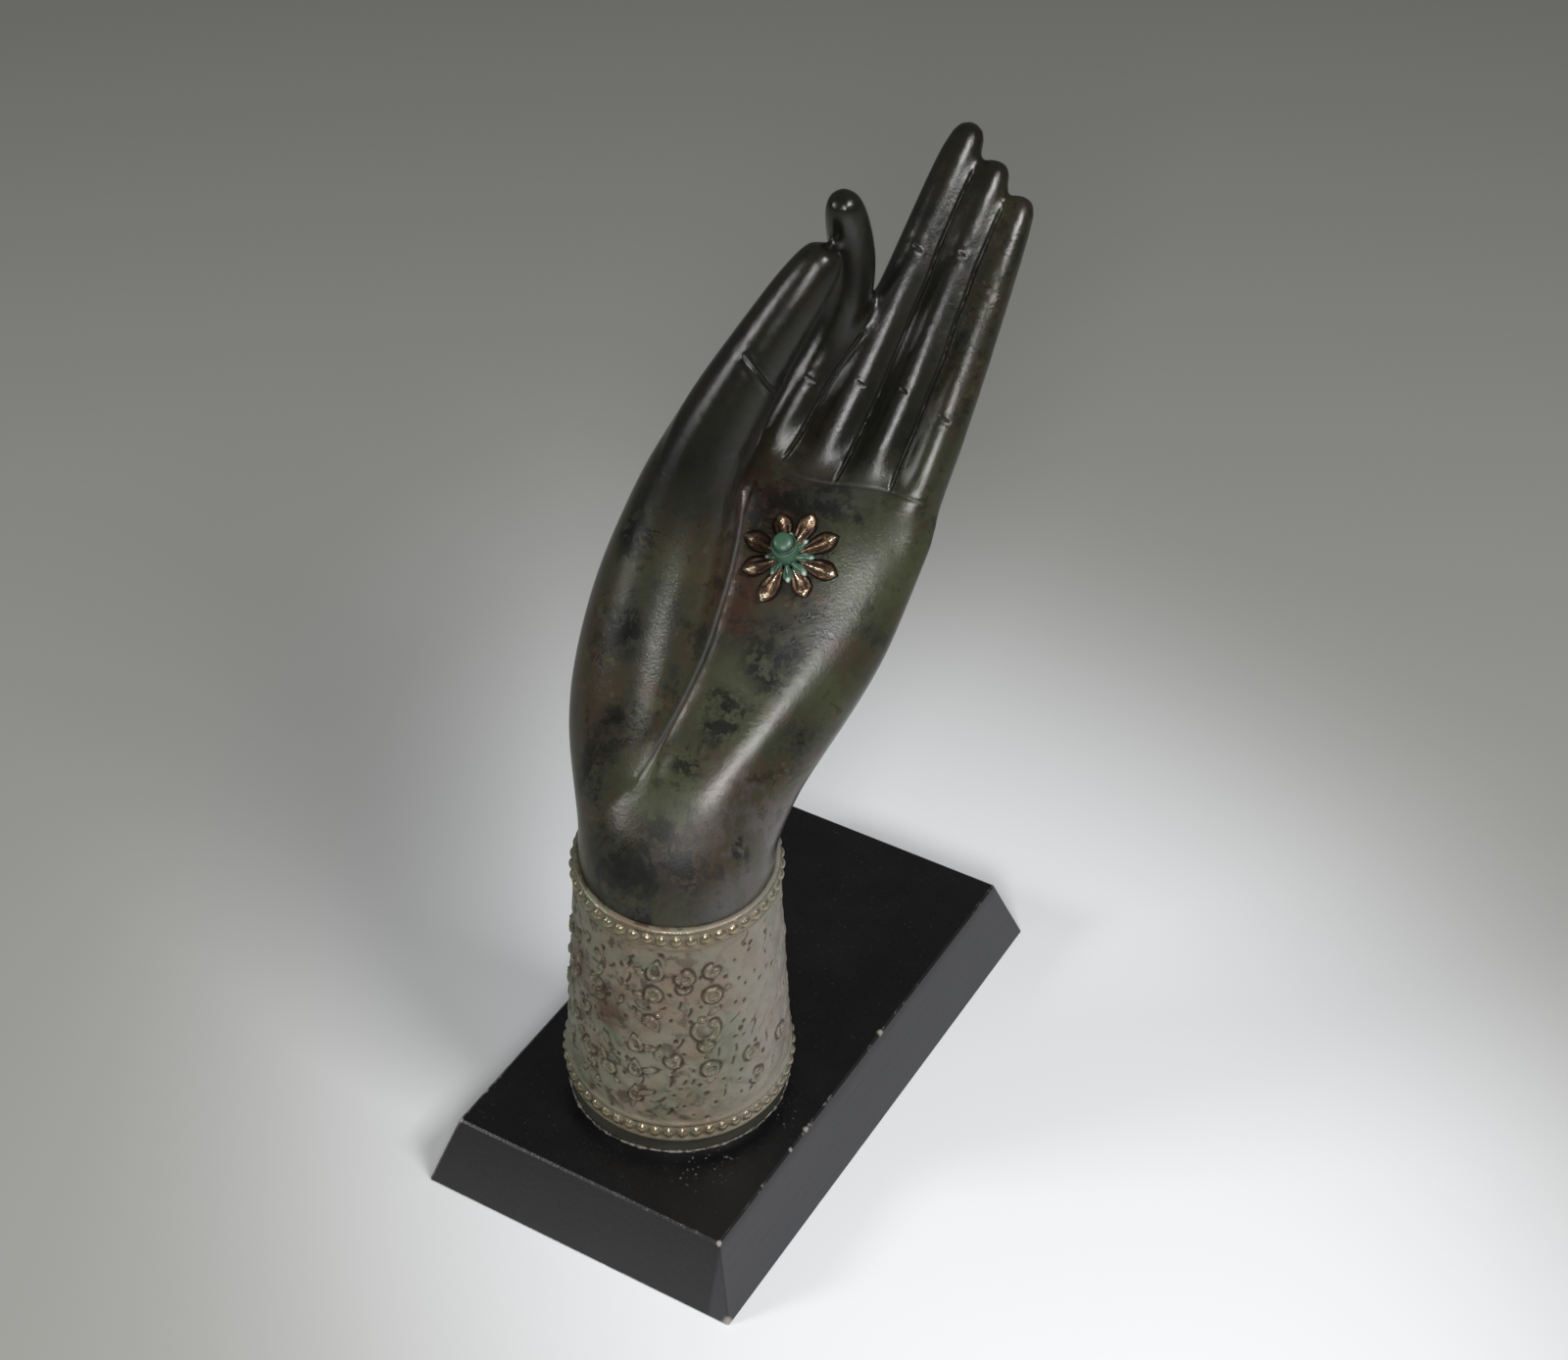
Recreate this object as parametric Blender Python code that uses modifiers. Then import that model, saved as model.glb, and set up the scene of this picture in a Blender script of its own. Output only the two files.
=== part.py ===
"""Hand figurine: a cast hand with a beaded cuff and a palm rosette, screwed to a sloped plinth.

Lengths are in metres and +Z is up. The origin is the middle of the plinth's underside, X runs
across the plinth and Y along it. The palm faces -Y and leans back over the plinth.
"""

import math
from typing import NamedTuple

import bmesh
import bpy
from mathutils import Matrix, Vector
from mathutils.bvhtree import BVHTree

OBJECT_NAME = "hand_figurine"
SEAT_CLEARANCE = 0.0003

# Plinth
PLINTH_TOP_WIDTH = 0.1000
PLINTH_TOP_LENGTH = 0.1887
PLINTH_HEIGHT = 0.0265
PLINTH_OVERHANG = 0.0086
PLINTH_EDGE_ROUND = 0.0006

# Forearm stub
FOREARM_Y = -0.0384
FOREARM_FOOT_RADIUS = 0.0360
FOREARM_TOP_RADIUS = 0.0300
FOREARM_TOP_HEIGHT = 0.1255
FOREARM_SIDES = 48
FOREARM_JOIN_BELOW_TOP = 0.0150
FOREARM_LEAN_X = 0.0160
FOREARM_LEAN_Y = 0.0050

# Directions of the hand, measured at the wrist
WRIST_RISE = 0.0045
WRIST_HEIGHT = FOREARM_TOP_HEIGHT + WRIST_RISE
LEAN_BACK = math.radians(37.0)
LEAN_SIDE = math.radians(7.0)
PALM_TURN = math.radians(12.0)

# Fingers
FINGER_DEPTH_SHARE = 1.02
FINGER_RING_POINTS = 10
PALM_RING_POINTS = 16
PALM_FULLNESS = 2.25

# Skin of the casting
SKIN_VOXEL = 0.0010
SKIN_SMOOTHING = 7
SKIN_TRIANGLE_SHARE = 0.026

# Cuff
CUFF_BOTTOM_HEIGHT = 0.0366
CUFF_TOP_HEIGHT = FOREARM_TOP_HEIGHT
CUFF_WALL_BOTTOM = 0.0014
CUFF_WALL_TOP = 0.0015
CUFF_TILT_X = 0.07
CUFF_TILT_Y = 0.07
CUFF_MOUTH_GAP = 0.0012
CUFF_MOUTH_DEPTH = 0.0120
CUFF_STEPS = 40
CUFF_LINE_HEIGHT = 0.0016
CUFF_LINE_PROUD = 0.0007
CUFF_BAND_HEIGHT = 0.0048
CUFF_BAND_DEPTH = 0.0003
BEAD_PITCH = 0.0044
BEAD_RADIUS = 0.0020
BEAD_PROUD = 0.0015
BEAD_SIDES = 5
BEAD_SHOULDER = 0.80
BEAD_SHOULDER_RISE = 0.62
RELIEF_ROOT = 0.0008
MEDAL_WIDTH = 0.0027
MEDAL_HEIGHT = 0.0031
MEDAL_PROUD = 0.0006
MEDAL_HOLLOW = 0.58
MEDAL_SIDES = 6
MEDAL_PLACES = (
    (19.1, 0.86),
    (19.6, 0.74),
    (19.6, 0.57),
    (9.0, 0.41),
    (10.5, 0.26),
    (11.5, 0.11),
    (51.0, 0.73),
    (49.5, 0.27),
)

# Palm rosette
ROSETTE_ALONG = 0.0963
ROSETTE_ACROSS = 0.0030
ROSETTE_RADIUS = 0.0150
ROSETTE_WAIST = 0.0085
ROSETTE_PETALS = 8
ROSETTE_THICKNESS = 0.0016
ROSETTE_TURN = 0.0
ROSETTE_COLUMNS = 48
PETAL_GROOVE = 0.45
PETAL_CLEARANCE = 0.0004
PROBE_SPREAD = 0.0010
BOSS_RADIUS = 0.0036
BOSS_SKIRT_RADIUS = 0.0064
BOSS_SKIRT_HEIGHT = 0.0016
BOSS_HEIGHT = 0.0050
BOSS_LOBE = 0.12
BOSS_LEAN = 0.0046
BOSS_COLUMNS = 24
BOSS_PROFILE = (
    (BOSS_SKIRT_RADIUS, 0.0, True),
    (BOSS_SKIRT_RADIUS, BOSS_SKIRT_HEIGHT / 2.0, True),
    (BOSS_SKIRT_RADIUS * 0.82, BOSS_SKIRT_HEIGHT, True),
    (BOSS_RADIUS, BOSS_SKIRT_HEIGHT, False),
    (BOSS_RADIUS, BOSS_HEIGHT * 0.62, False),
    (BOSS_RADIUS * 0.84, BOSS_HEIGHT * 0.84, False),
    (BOSS_RADIUS * 0.45, BOSS_HEIGHT * 0.97, False),
)

# Screw from below
SCREW_RADIUS = 0.0030
SCREW_HEAD_RADIUS = 0.0055
SCREW_HEAD_HEIGHT = 0.0035
SCREW_GRIP_IN_HAND = 0.0220
SCREW_SOCKET_RADIUS = 0.0021
SCREW_SOCKET_DEPTH = 0.0020
SCREW_TIP_CHAMFER = 0.0006
SCREW_STEPS = 16
HEX_SIDES = 6
WASHER_RADIUS = 0.0075
WASHER_THICKNESS = 0.0012
COUNTERBORE_RADIUS = 0.0085
COUNTERBORE_DEPTH = 0.0100

UP = Vector((0.0, 0.0, 1.0))
CUT_MARGIN = 0.002
MERGE_DISTANCE = 0.00002


class Section(NamedTuple):
    """One ring of the palm: where its edges lie in the hand's directions.

    level turns the ring from square to the palm (0) to level (1), and slant carries its little
    finger edge further along than its thumb edge.
    """

    along: float
    thumb_edge: float
    little_edge: float
    palm_face: float
    back_face: float
    level: float
    slant: float


class Joint(NamedTuple):
    """One ring of a finger or of the thumb: its middle and its half width and half depth."""

    across: float
    along: float
    out: float
    half_width: float
    half_depth: float


FOREARM_RING_DROPS = (0.0250, 0.0140, 0.0050, 0.0)

PALM_SECTIONS = (
    Section(0.0060, -0.0308, 0.0308, 0.0300, -0.0280, 0.62, 0.00),
    Section(0.0180, -0.0315, 0.0308, 0.0270, -0.0222, 0.36, 0.00),
    Section(0.0310, -0.0325, 0.0316, 0.0236, -0.0178, 0.14, 0.00),
    Section(0.0450, -0.0335, 0.0340, 0.0205, -0.0152, 0.00, 0.00),
    Section(0.0620, -0.0335, 0.0373, 0.0178, -0.0142, 0.00, 0.00),
    Section(0.0800, -0.0325, 0.0396, 0.0150, -0.0136, 0.00, 0.00),
    Section(0.0970, -0.0310, 0.0388, 0.0125, -0.0130, 0.00, 0.04),
    Section(0.1110, -0.0295, 0.0386, 0.0106, -0.0122, 0.00, 0.08),
    Section(0.1200, -0.0280, 0.0372, 0.0082, -0.0112, 0.00, 0.12),
    Section(0.1260, -0.0260, 0.0345, 0.0045, -0.0096, 0.00, 0.12),
)

THUMB = (
    Joint(-0.0090, -0.0200, -0.0020, 0.0100, 0.0140),
    Joint(-0.0135, -0.0040, 0.0030, 0.0130, 0.0156),
    Joint(-0.0165, 0.0080, 0.0052, 0.0170, 0.0178),
    Joint(-0.0195, 0.0200, 0.0066, 0.0206, 0.0187),
    Joint(-0.0230, 0.0340, 0.0080, 0.0230, 0.0190),
    Joint(-0.0267, 0.0500, 0.0095, 0.0228, 0.0188),
    Joint(-0.0297, 0.0700, 0.0115, 0.0219, 0.0182),
    Joint(-0.0305, 0.0880, 0.0148, 0.0198, 0.0170),
    Joint(-0.0311, 0.1030, 0.0196, 0.0170, 0.0154),
    Joint(-0.0303, 0.1180, 0.0252, 0.0140, 0.0138),
    Joint(-0.0272, 0.1350, 0.0316, 0.0115, 0.0118),
    Joint(-0.0228, 0.1530, 0.0368, 0.0096, 0.0101),
    Joint(-0.0183, 0.1690, 0.0405, 0.0090, 0.0088),
    Joint(-0.0155, 0.1800, 0.0428, 0.0072, 0.0074),
    Joint(-0.0142, 0.1855, 0.0438, 0.0052, 0.0055),
)

INDEX = (
    Joint(-0.0190, 0.1080, -0.0015, 0.0078, 0.0080),
    Joint(-0.0190, 0.1250, -0.0010, 0.0076, 0.0078),
    Joint(-0.0172, 0.1420, 0.0000, 0.0074, 0.0076),
    Joint(-0.0146, 0.1580, 0.0010, 0.0072, 0.0074),
    Joint(-0.0126, 0.1710, 0.0060, 0.0071, 0.0073),
    Joint(-0.0124, 0.1815, 0.0165, 0.0071, 0.0071),
    Joint(-0.0133, 0.1890, 0.0285, 0.0070, 0.0069),
    Joint(-0.0146, 0.1950, 0.0400, 0.0066, 0.0064),
    Joint(-0.0156, 0.1995, 0.0492, 0.0050, 0.0050),
)

MIDDLE = (
    Joint(-0.0035, 0.1080, -0.0015, 0.0086, 0.0082),
    Joint(-0.0033, 0.1300, -0.0010, 0.0086, 0.0080),
    Joint(-0.0016, 0.1540, 0.0000, 0.0082, 0.0078),
    Joint(-0.0006, 0.1840, 0.0000, 0.0072, 0.0072),
    Joint(-0.0011, 0.2100, -0.0010, 0.0068, 0.0067),
    Joint(-0.0013, 0.2290, -0.0026, 0.0063, 0.0059),
    Joint(-0.0011, 0.2368, -0.0036, 0.0042, 0.0042),
)

RING = (
    Joint(0.0125, 0.1080, -0.0015, 0.0079, 0.0080),
    Joint(0.0128, 0.1300, -0.0010, 0.0079, 0.0077),
    Joint(0.0137, 0.1540, 0.0000, 0.0074, 0.0075),
    Joint(0.0122, 0.1840, 0.0000, 0.0067, 0.0069),
    Joint(0.0112, 0.2060, -0.0012, 0.0064, 0.0064),
    Joint(0.0108, 0.2220, -0.0026, 0.0058, 0.0057),
    Joint(0.0106, 0.2294, -0.0034, 0.0040, 0.0041),
)

LITTLE = (
    Joint(0.0280, 0.1080, -0.0020, 0.0082, 0.0078),
    Joint(0.0281, 0.1300, -0.0015, 0.0080, 0.0074),
    Joint(0.0273, 0.1530, -0.0010, 0.0073, 0.0070),
    Joint(0.0246, 0.1830, -0.0010, 0.0069, 0.0065),
    Joint(0.0229, 0.2020, -0.0020, 0.0063, 0.0060),
    Joint(0.0220, 0.2150, -0.0032, 0.0056, 0.0053),
    Joint(0.0216, 0.2226, -0.0041, 0.0040, 0.0040),
)


def hand_directions():
    """Return the across, along and out directions of the hand."""
    along = Vector((math.tan(LEAN_SIDE), math.tan(LEAN_BACK), 1.0)).normalized()
    level_across = Vector((math.cos(PALM_TURN), math.sin(PALM_TURN), 0.0))
    across = (level_across - along * level_across.dot(along)).normalized()
    return across, along, across.cross(along)


ACROSS, ALONG, OUT = hand_directions()
WRIST = Vector((0.0, FOREARM_Y, WRIST_HEIGHT))


HAND_FRAME = Matrix.Translation(WRIST) @ Matrix((ACROSS, ALONG, OUT)).transposed().to_4x4()


def hand_point(across, along, out):
    """Return the world place of a point that is given in the hand's directions."""
    return WRIST + ACROSS * across + ALONG * along + OUT * out


def forearm_middle(height):
    """Return the middle of the leaning forearm at a height."""
    rise = height - PLINTH_HEIGHT
    return Vector((FOREARM_LEAN_X * rise, FOREARM_Y + FOREARM_LEAN_Y * rise, height))


def forearm_radius(height):
    """Return the radius of the tapered forearm stub at a height."""
    share = (height - PLINTH_HEIGHT) / (FOREARM_TOP_HEIGHT - PLINTH_HEIGHT)
    return FOREARM_FOOT_RADIUS + (FOREARM_TOP_RADIUS - FOREARM_FOOT_RADIUS) * share


def clear_scene():
    """Remove every object of the open file."""
    for item in list(bpy.data.objects):
        bpy.data.objects.remove(item, do_unlink=True)


def make_collection(name):
    """Return a new collection under the scene."""
    collection = bpy.data.collections.new(name)
    bpy.context.scene.collection.children.link(collection)
    return collection


clear_scene()
PARTS = make_collection(OBJECT_NAME)
CUTTERS = make_collection("cutters")


def principled(name, colour, roughness, metallic):
    """Return a material with one Principled BSDF."""
    material = bpy.data.materials.new(name)
    material.use_nodes = True
    shader = material.node_tree.nodes["Principled BSDF"]
    shader.inputs["Base Color"].default_value = (*colour, 1.0)
    shader.inputs["Roughness"].default_value = roughness
    shader.inputs["Metallic"].default_value = metallic
    return material


def object_from_bmesh(name, bm, collection):
    """Turn a bmesh into an object of a collection."""
    bmesh.ops.recalc_face_normals(bm, faces=bm.faces)
    mesh = bpy.data.meshes.new(name)
    bm.to_mesh(mesh)
    bm.free()
    item = bpy.data.objects.new(name, mesh)
    collection.objects.link(item)
    return item


def finish(item, material, sharp_angle):
    """Give a part its material and smooth shading."""
    item.data.materials.append(material)
    item.data.shade_smooth()
    item.data.set_sharp_from_angle(angle=math.radians(sharp_angle))


def hide_cutter(item):
    """Keep a cutter out of the render and draw it as wire."""
    item.hide_render = True
    item.display_type = "WIRE"


def add_boolean(item, other, operation):
    """Join another solid to an object, or cut it away."""
    modifier = item.modifiers.new(f"{operation.lower()} {other.name}", "BOOLEAN")
    modifier.operation = operation
    modifier.solver = "EXACT"
    modifier.object = other


def evaluated_mesh(item):
    """Return a copy of an object's mesh as its modifiers leave it."""
    depsgraph = bpy.context.evaluated_depsgraph_get()
    return bpy.data.meshes.new_from_object(item.evaluated_get(depsgraph))


def bridge_rings(bm, rings, close_ends=True):
    """Build the skin between rings of the same count, and close both ends."""
    loops = [[bm.verts.new(point) for point in ring] for ring in rings]
    count = len(loops[0])
    for lower, upper in zip(loops, loops[1:]):
        for index in range(count):
            following = (index + 1) % count
            bm.faces.new((lower[index], lower[following], upper[following], upper[index]))
    if close_ends:
        bm.faces.new(loops[0])
        bm.faces.new(loops[-1])
    return loops


def bridge_closed(bm, rings):
    """Build the skin of a ring-shaped solid, whose last ring meets the first."""
    loops = bridge_rings(bm, rings, close_ends=False)
    count = len(loops[0])
    for index in range(count):
        following = (index + 1) % count
        bm.faces.new((loops[-1][index], loops[-1][following], loops[0][following], loops[0][index]))


def full_oval(points, fullness, centre, side, front, halves):
    """Return a ring of points on an oval, whose fullness squares it a little."""
    half_side, half_front = halves
    shrink = (2.0 + math.cos(2.0 * math.pi / points)) / 3.0
    power = 2.0 / fullness
    ring = []
    for index in range(points):
        angle = 2.0 * math.pi * index / points
        cosine = math.cos(angle)
        sine = math.sin(angle)
        reach_side = math.copysign(abs(cosine) ** power, cosine) * half_side / shrink
        reach_front = math.copysign(abs(sine) ** power, sine) * half_front / shrink
        ring.append(centre + side * reach_side + front * reach_front)
    return ring


def palm_ring(section):
    """Return the cage ring of one palm section."""
    middle_across = (section.thumb_edge + section.little_edge) / 2.0
    middle_out = (section.palm_face + section.back_face) / 2.0
    centre = hand_point(middle_across, section.along, middle_out)
    axis = ALONG.lerp(UP, section.level).normalized()
    side = (ACROSS - axis * ACROSS.dot(axis)).normalized()
    halves = (
        (section.little_edge - section.thumb_edge) / 2.0,
        (section.palm_face - section.back_face) / 2.0,
    )
    front = side.cross(axis)
    slanted_side = side + ALONG * section.slant
    fullness = 2.0 + (PALM_FULLNESS - 2.0) * (1.0 - section.level)
    return full_oval(PALM_RING_POINTS, fullness, centre, slanted_side, front, halves)


def forearm_ring(height):
    """Return the cage ring of the round forearm at a height."""
    centre = forearm_middle(height)
    side = (ACROSS - UP * ACROSS.z).normalized()
    radius = forearm_radius(height)
    return full_oval(PALM_RING_POINTS, 2.0, centre, side, side.cross(UP), (radius, radius))


def finger_rings(joints):
    """Return the cage rings of a finger, square to its bent centre line."""
    centres = [hand_point(joint.across, joint.along, joint.out) for joint in joints]
    rings = []
    for index, joint in enumerate(joints):
        before = centres[max(index - 1, 0)]
        after = centres[min(index + 1, len(joints) - 1)]
        axis = (after - before).normalized()
        side = (ACROSS - axis * ACROSS.dot(axis)).normalized()
        halves = (joint.half_width, joint.half_depth * FINGER_DEPTH_SHARE)
        rings.append(
            full_oval(FINGER_RING_POINTS, 2.0, centres[index], side, side.cross(axis), halves)
        )
    return rings


def cage(name, rings):
    """Return a smooth form inside a cage of rings."""
    bm = bmesh.new()
    bridge_rings(bm, rings)
    item = object_from_bmesh(name, bm, CUTTERS)
    hide_cutter(item)
    subdivision = item.modifiers.new("smooth form", "SUBSURF")
    subdivision.levels = 2
    subdivision.render_levels = 2
    return item


def cylinder(name, radius, bottom, top, sides=32):
    """Return an upright cylinder on the screw's axis, to cut with."""
    bm = bmesh.new()
    bmesh.ops.create_cone(
        bm,
        cap_ends=True,
        segments=sides,
        radius1=radius,
        radius2=radius,
        depth=top - bottom,
    )
    item = object_from_bmesh(name, bm, CUTTERS)
    item.location = (0.0, FOREARM_Y, (bottom + top) / 2.0)
    hide_cutter(item)
    return item


def turned(name, profile):
    """Return a solid turned from a profile that runs down its outer side at +X."""
    bm = bmesh.new()
    points = [bm.verts.new((radius, 0.0, height)) for radius, height in profile]
    for first, second in zip(points, points[1:]):
        bm.edges.new((first, second))
    if profile[0][0] > 0.0:
        bm.edges.new((points[-1], points[0]))
    mesh = bpy.data.meshes.new(name)
    bm.to_mesh(mesh)
    bm.free()
    item = bpy.data.objects.new(name, mesh)
    PARTS.objects.link(item)
    item.location = (0.0, FOREARM_Y, 0.0)
    screw = item.modifiers.new("turn", "SCREW")
    screw.steps = SCREW_STEPS
    screw.render_steps = SCREW_STEPS
    screw.use_merge_vertices = True
    screw.merge_threshold = MERGE_DISTANCE
    screw.use_smooth_shade = True
    return item


def make_plinth():
    """Build the board with sloped sides and the stepped screw hole underneath."""
    bm = bmesh.new()
    bmesh.ops.create_cube(bm, size=1.0)
    bottom_width = PLINTH_TOP_WIDTH + 2.0 * PLINTH_OVERHANG
    bottom_length = PLINTH_TOP_LENGTH + 2.0 * PLINTH_OVERHANG
    for vertex in bm.verts:
        upper = vertex.co.z > 0.0
        vertex.co.x *= PLINTH_TOP_WIDTH if upper else bottom_width
        vertex.co.y *= PLINTH_TOP_LENGTH if upper else bottom_length
        vertex.co.z = PLINTH_HEIGHT if upper else 0.0
    item = object_from_bmesh("plinth", bm, PARTS)
    bevel = item.modifiers.new("worn edges", "BEVEL")
    bevel.width = PLINTH_EDGE_ROUND
    bevel.segments = 1
    hole_radius = SCREW_RADIUS + SEAT_CLEARANCE
    hole_top = PLINTH_HEIGHT + CUT_MARGIN
    for cutter in (
        cylinder("screw hole", hole_radius, -CUT_MARGIN, hole_top, SCREW_STEPS),
        cylinder("counterbore", COUNTERBORE_RADIUS, -CUT_MARGIN, COUNTERBORE_DEPTH),
    ):
        add_boolean(item, cutter, "DIFFERENCE")
    finish(item, principled("black paint", (0.018, 0.018, 0.020), 0.42, 0.0), 30.0)
    return item


def make_skin():
    """Join the palm, the thumb and the fingers into one smooth skin."""
    wrist_rings = [forearm_ring(FOREARM_TOP_HEIGHT - drop) for drop in FOREARM_RING_DROPS]
    palm_rings = [palm_ring(section) for section in PALM_SECTIONS]
    forms = [cage("palm form", wrist_rings + palm_rings)]
    for name, joints in (
        ("thumb form", THUMB),
        ("index form", INDEX),
        ("middle form", MIDDLE),
        ("ring form", RING),
        ("little form", LITTLE),
    ):
        forms.append(cage(name, finger_rings(joints)))
    bm = bmesh.new()
    for form in forms:
        bm.from_mesh(evaluated_mesh(form))
    bm.transform(HAND_FRAME.inverted())
    item = object_from_bmesh("hand", bm, PARTS)
    item.matrix_world = HAND_FRAME
    remesh = item.modifiers.new("one skin", "REMESH")
    remesh.mode = "VOXEL"
    remesh.voxel_size = SKIN_VOXEL
    smooth = item.modifiers.new("soft joins", "SMOOTH")
    smooth.factor = 0.5
    smooth.iterations = SKIN_SMOOTHING
    reduce = item.modifiers.new("fewer faces", "DECIMATE")
    reduce.ratio = SKIN_TRIANGLE_SHARE
    return item


def round_ring(height):
    """Return points round the forearm stub at a height."""
    middle = forearm_middle(height)
    radius = forearm_radius(height)
    ring = []
    for index in range(FOREARM_SIDES):
        angle = 2.0 * math.pi * index / FOREARM_SIDES
        ring.append(middle + Vector((math.sin(angle), -math.cos(angle), 0.0)) * radius)
    return ring


def make_hand():
    """Build the casting: the skin on its forearm stub, bored for the screw and the rosette."""
    item = make_skin()
    foot = PLINTH_HEIGHT + SEAT_CLEARANCE
    join_height = FOREARM_TOP_HEIGHT - FOREARM_JOIN_BELOW_TOP
    bm = bmesh.new()
    bridge_rings(bm, [round_ring(foot), round_ring(join_height)])
    stub = object_from_bmesh("forearm stub", bm, CUTTERS)
    hide_cutter(stub)
    add_boolean(item, stub, "UNION")
    bore_radius = SCREW_RADIUS + SEAT_CLEARANCE
    bore_top = PLINTH_HEIGHT + SCREW_GRIP_IN_HAND + 2.0 * SEAT_CLEARANCE
    bore = cylinder("screw bore", bore_radius, foot - CUT_MARGIN, bore_top, SCREW_STEPS)
    add_boolean(item, bore, "DIFFERENCE")
    return item


def cuff_wall(height):
    """Return the wall thickness of the cuff's plain field at a height."""
    share = (height - CUFF_BOTTOM_HEIGHT) / (CUFF_TOP_HEIGHT - CUFF_BOTTOM_HEIGHT)
    return CUFF_WALL_BOTTOM + (CUFF_WALL_TOP - CUFF_WALL_BOTTOM) * share


def cuff_point(angle, height, proud):
    """Return a place on the tilted, tapered cuff; proud is measured from its plain field."""
    radius = forearm_radius(height) + SEAT_CLEARANCE + cuff_wall(height) + proud
    lift = -radius * (math.sin(angle) * CUFF_TILT_X + math.cos(angle) * CUFF_TILT_Y)
    radius += forearm_radius(height + lift) - forearm_radius(height)
    middle = forearm_middle(height + lift)
    return middle + Vector((math.sin(angle), -math.cos(angle), 0.0)) * radius


def cuff_profile():
    """Return heights and proud distances down the outer side of the cuff."""
    top = CUFF_TOP_HEIGHT
    inner_line = top - CUFF_LINE_HEIGHT - CUFF_BAND_HEIGHT
    upper = [
        (top, 0.0),
        (top - CUFF_LINE_HEIGHT / 2.0, CUFF_LINE_PROUD),
        (top - CUFF_LINE_HEIGHT, -CUFF_BAND_DEPTH),
        (inner_line, -CUFF_BAND_DEPTH),
        (inner_line - CUFF_LINE_HEIGHT / 2.0, CUFF_LINE_PROUD),
        (inner_line - CUFF_LINE_HEIGHT, 0.0),
    ]
    lower = [(top + CUFF_BOTTOM_HEIGHT - height, proud) for height, proud in reversed(upper)]
    return upper + lower


def cuff_oval(angle, height, reach, proud, sides):
    """Return an oval of points on the cuff; reach is its half width and half height."""
    radius = forearm_radius(height) + cuff_wall(height)
    ring = []
    for index in range(sides):
        turn = 2.0 * math.pi * index / sides
        shift = reach[0] * math.sin(turn) / radius
        ring.append(cuff_point(angle + shift, height + reach[1] * math.cos(turn), proud))
    return ring


def bead_row(bm, height):
    """Add one row of beads round the cuff, each rooted in its wall."""
    radius = forearm_radius(height) + cuff_wall(height)
    count = round(2.0 * math.pi * radius / BEAD_PITCH)
    shoulder = BEAD_RADIUS * BEAD_SHOULDER
    for index in range(count):
        angle = 2.0 * math.pi * index / count
        root = cuff_oval(angle, height, (BEAD_RADIUS, BEAD_RADIUS), -RELIEF_ROOT, BEAD_SIDES)
        rise = BEAD_PROUD * BEAD_SHOULDER_RISE
        crown = cuff_oval(angle, height, (shoulder, shoulder), rise, BEAD_SIDES)
        loops = bridge_rings(bm, [root, crown], close_ends=False)
        bm.faces.new(loops[0])
        close_with_point(bm, loops[1], cuff_point(angle, height, BEAD_PROUD))


def add_medal(bm, degrees, share):
    """Add one raised oval ring, at a share of the height of the cuff's field."""
    angle = math.radians(degrees)
    border = 2.0 * CUFF_LINE_HEIGHT + CUFF_BAND_HEIGHT
    field_height = CUFF_TOP_HEIGHT - CUFF_BOTTOM_HEIGHT - 2.0 * border
    height = CUFF_BOTTOM_HEIGHT + border + share * field_height
    outer = (MEDAL_WIDTH, MEDAL_HEIGHT)
    inner = (MEDAL_WIDTH * MEDAL_HOLLOW, MEDAL_HEIGHT * MEDAL_HOLLOW)
    rings = []
    for reach, proud in (
        (outer, -RELIEF_ROOT),
        (outer, MEDAL_PROUD),
        (inner, MEDAL_PROUD),
        (inner, -RELIEF_ROOT),
    ):
        rings.append(cuff_oval(angle, height, reach, proud, MEDAL_SIDES))
    bridge_closed(bm, rings)


def close_with_point(bm, loop, point):
    """Close a loop of points with a fan to one more point."""
    centre = bm.verts.new(point)
    for index, vertex in enumerate(loop):
        bm.faces.new((vertex, loop[(index + 1) % len(loop)], centre))


def make_cuff():
    """Build the sleeve with its border lines, its bead rows and its raised ornaments."""
    bm = bmesh.new()
    rings = [cuff_ring(height, proud) for height, proud in cuff_profile()]
    for height, gap in (
        (CUFF_BOTTOM_HEIGHT, 0.0),
        (CUFF_TOP_HEIGHT - CUFF_MOUTH_DEPTH, 0.0),
        (CUFF_TOP_HEIGHT, CUFF_MOUTH_GAP),
    ):
        rings.append(cuff_ring(height, gap - cuff_wall(height)))
    bridge_closed(bm, rings)
    cuff = object_from_bmesh("cuff", bm, PARTS)
    raised = bmesh.new()
    bead_middle = CUFF_LINE_HEIGHT + CUFF_BAND_HEIGHT / 2.0
    bead_row(raised, CUFF_BOTTOM_HEIGHT + bead_middle)
    bead_row(raised, CUFF_TOP_HEIGHT - bead_middle)
    for degrees, share in MEDAL_PLACES:
        add_medal(raised, degrees, share)
    ornaments = object_from_bmesh("cuff ornaments", raised, CUTTERS)
    hide_cutter(ornaments)
    add_boolean(cuff, ornaments, "UNION")
    finish(cuff, principled("pale verdigris", (0.47, 0.47, 0.36), 0.55, 0.4), 35.0)
    return cuff


def cuff_ring(height, proud):
    """Return one ring of points round the cuff."""
    return [
        cuff_point(2.0 * math.pi * index / CUFF_STEPS, height, proud) for index in range(CUFF_STEPS)
    ]


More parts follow.
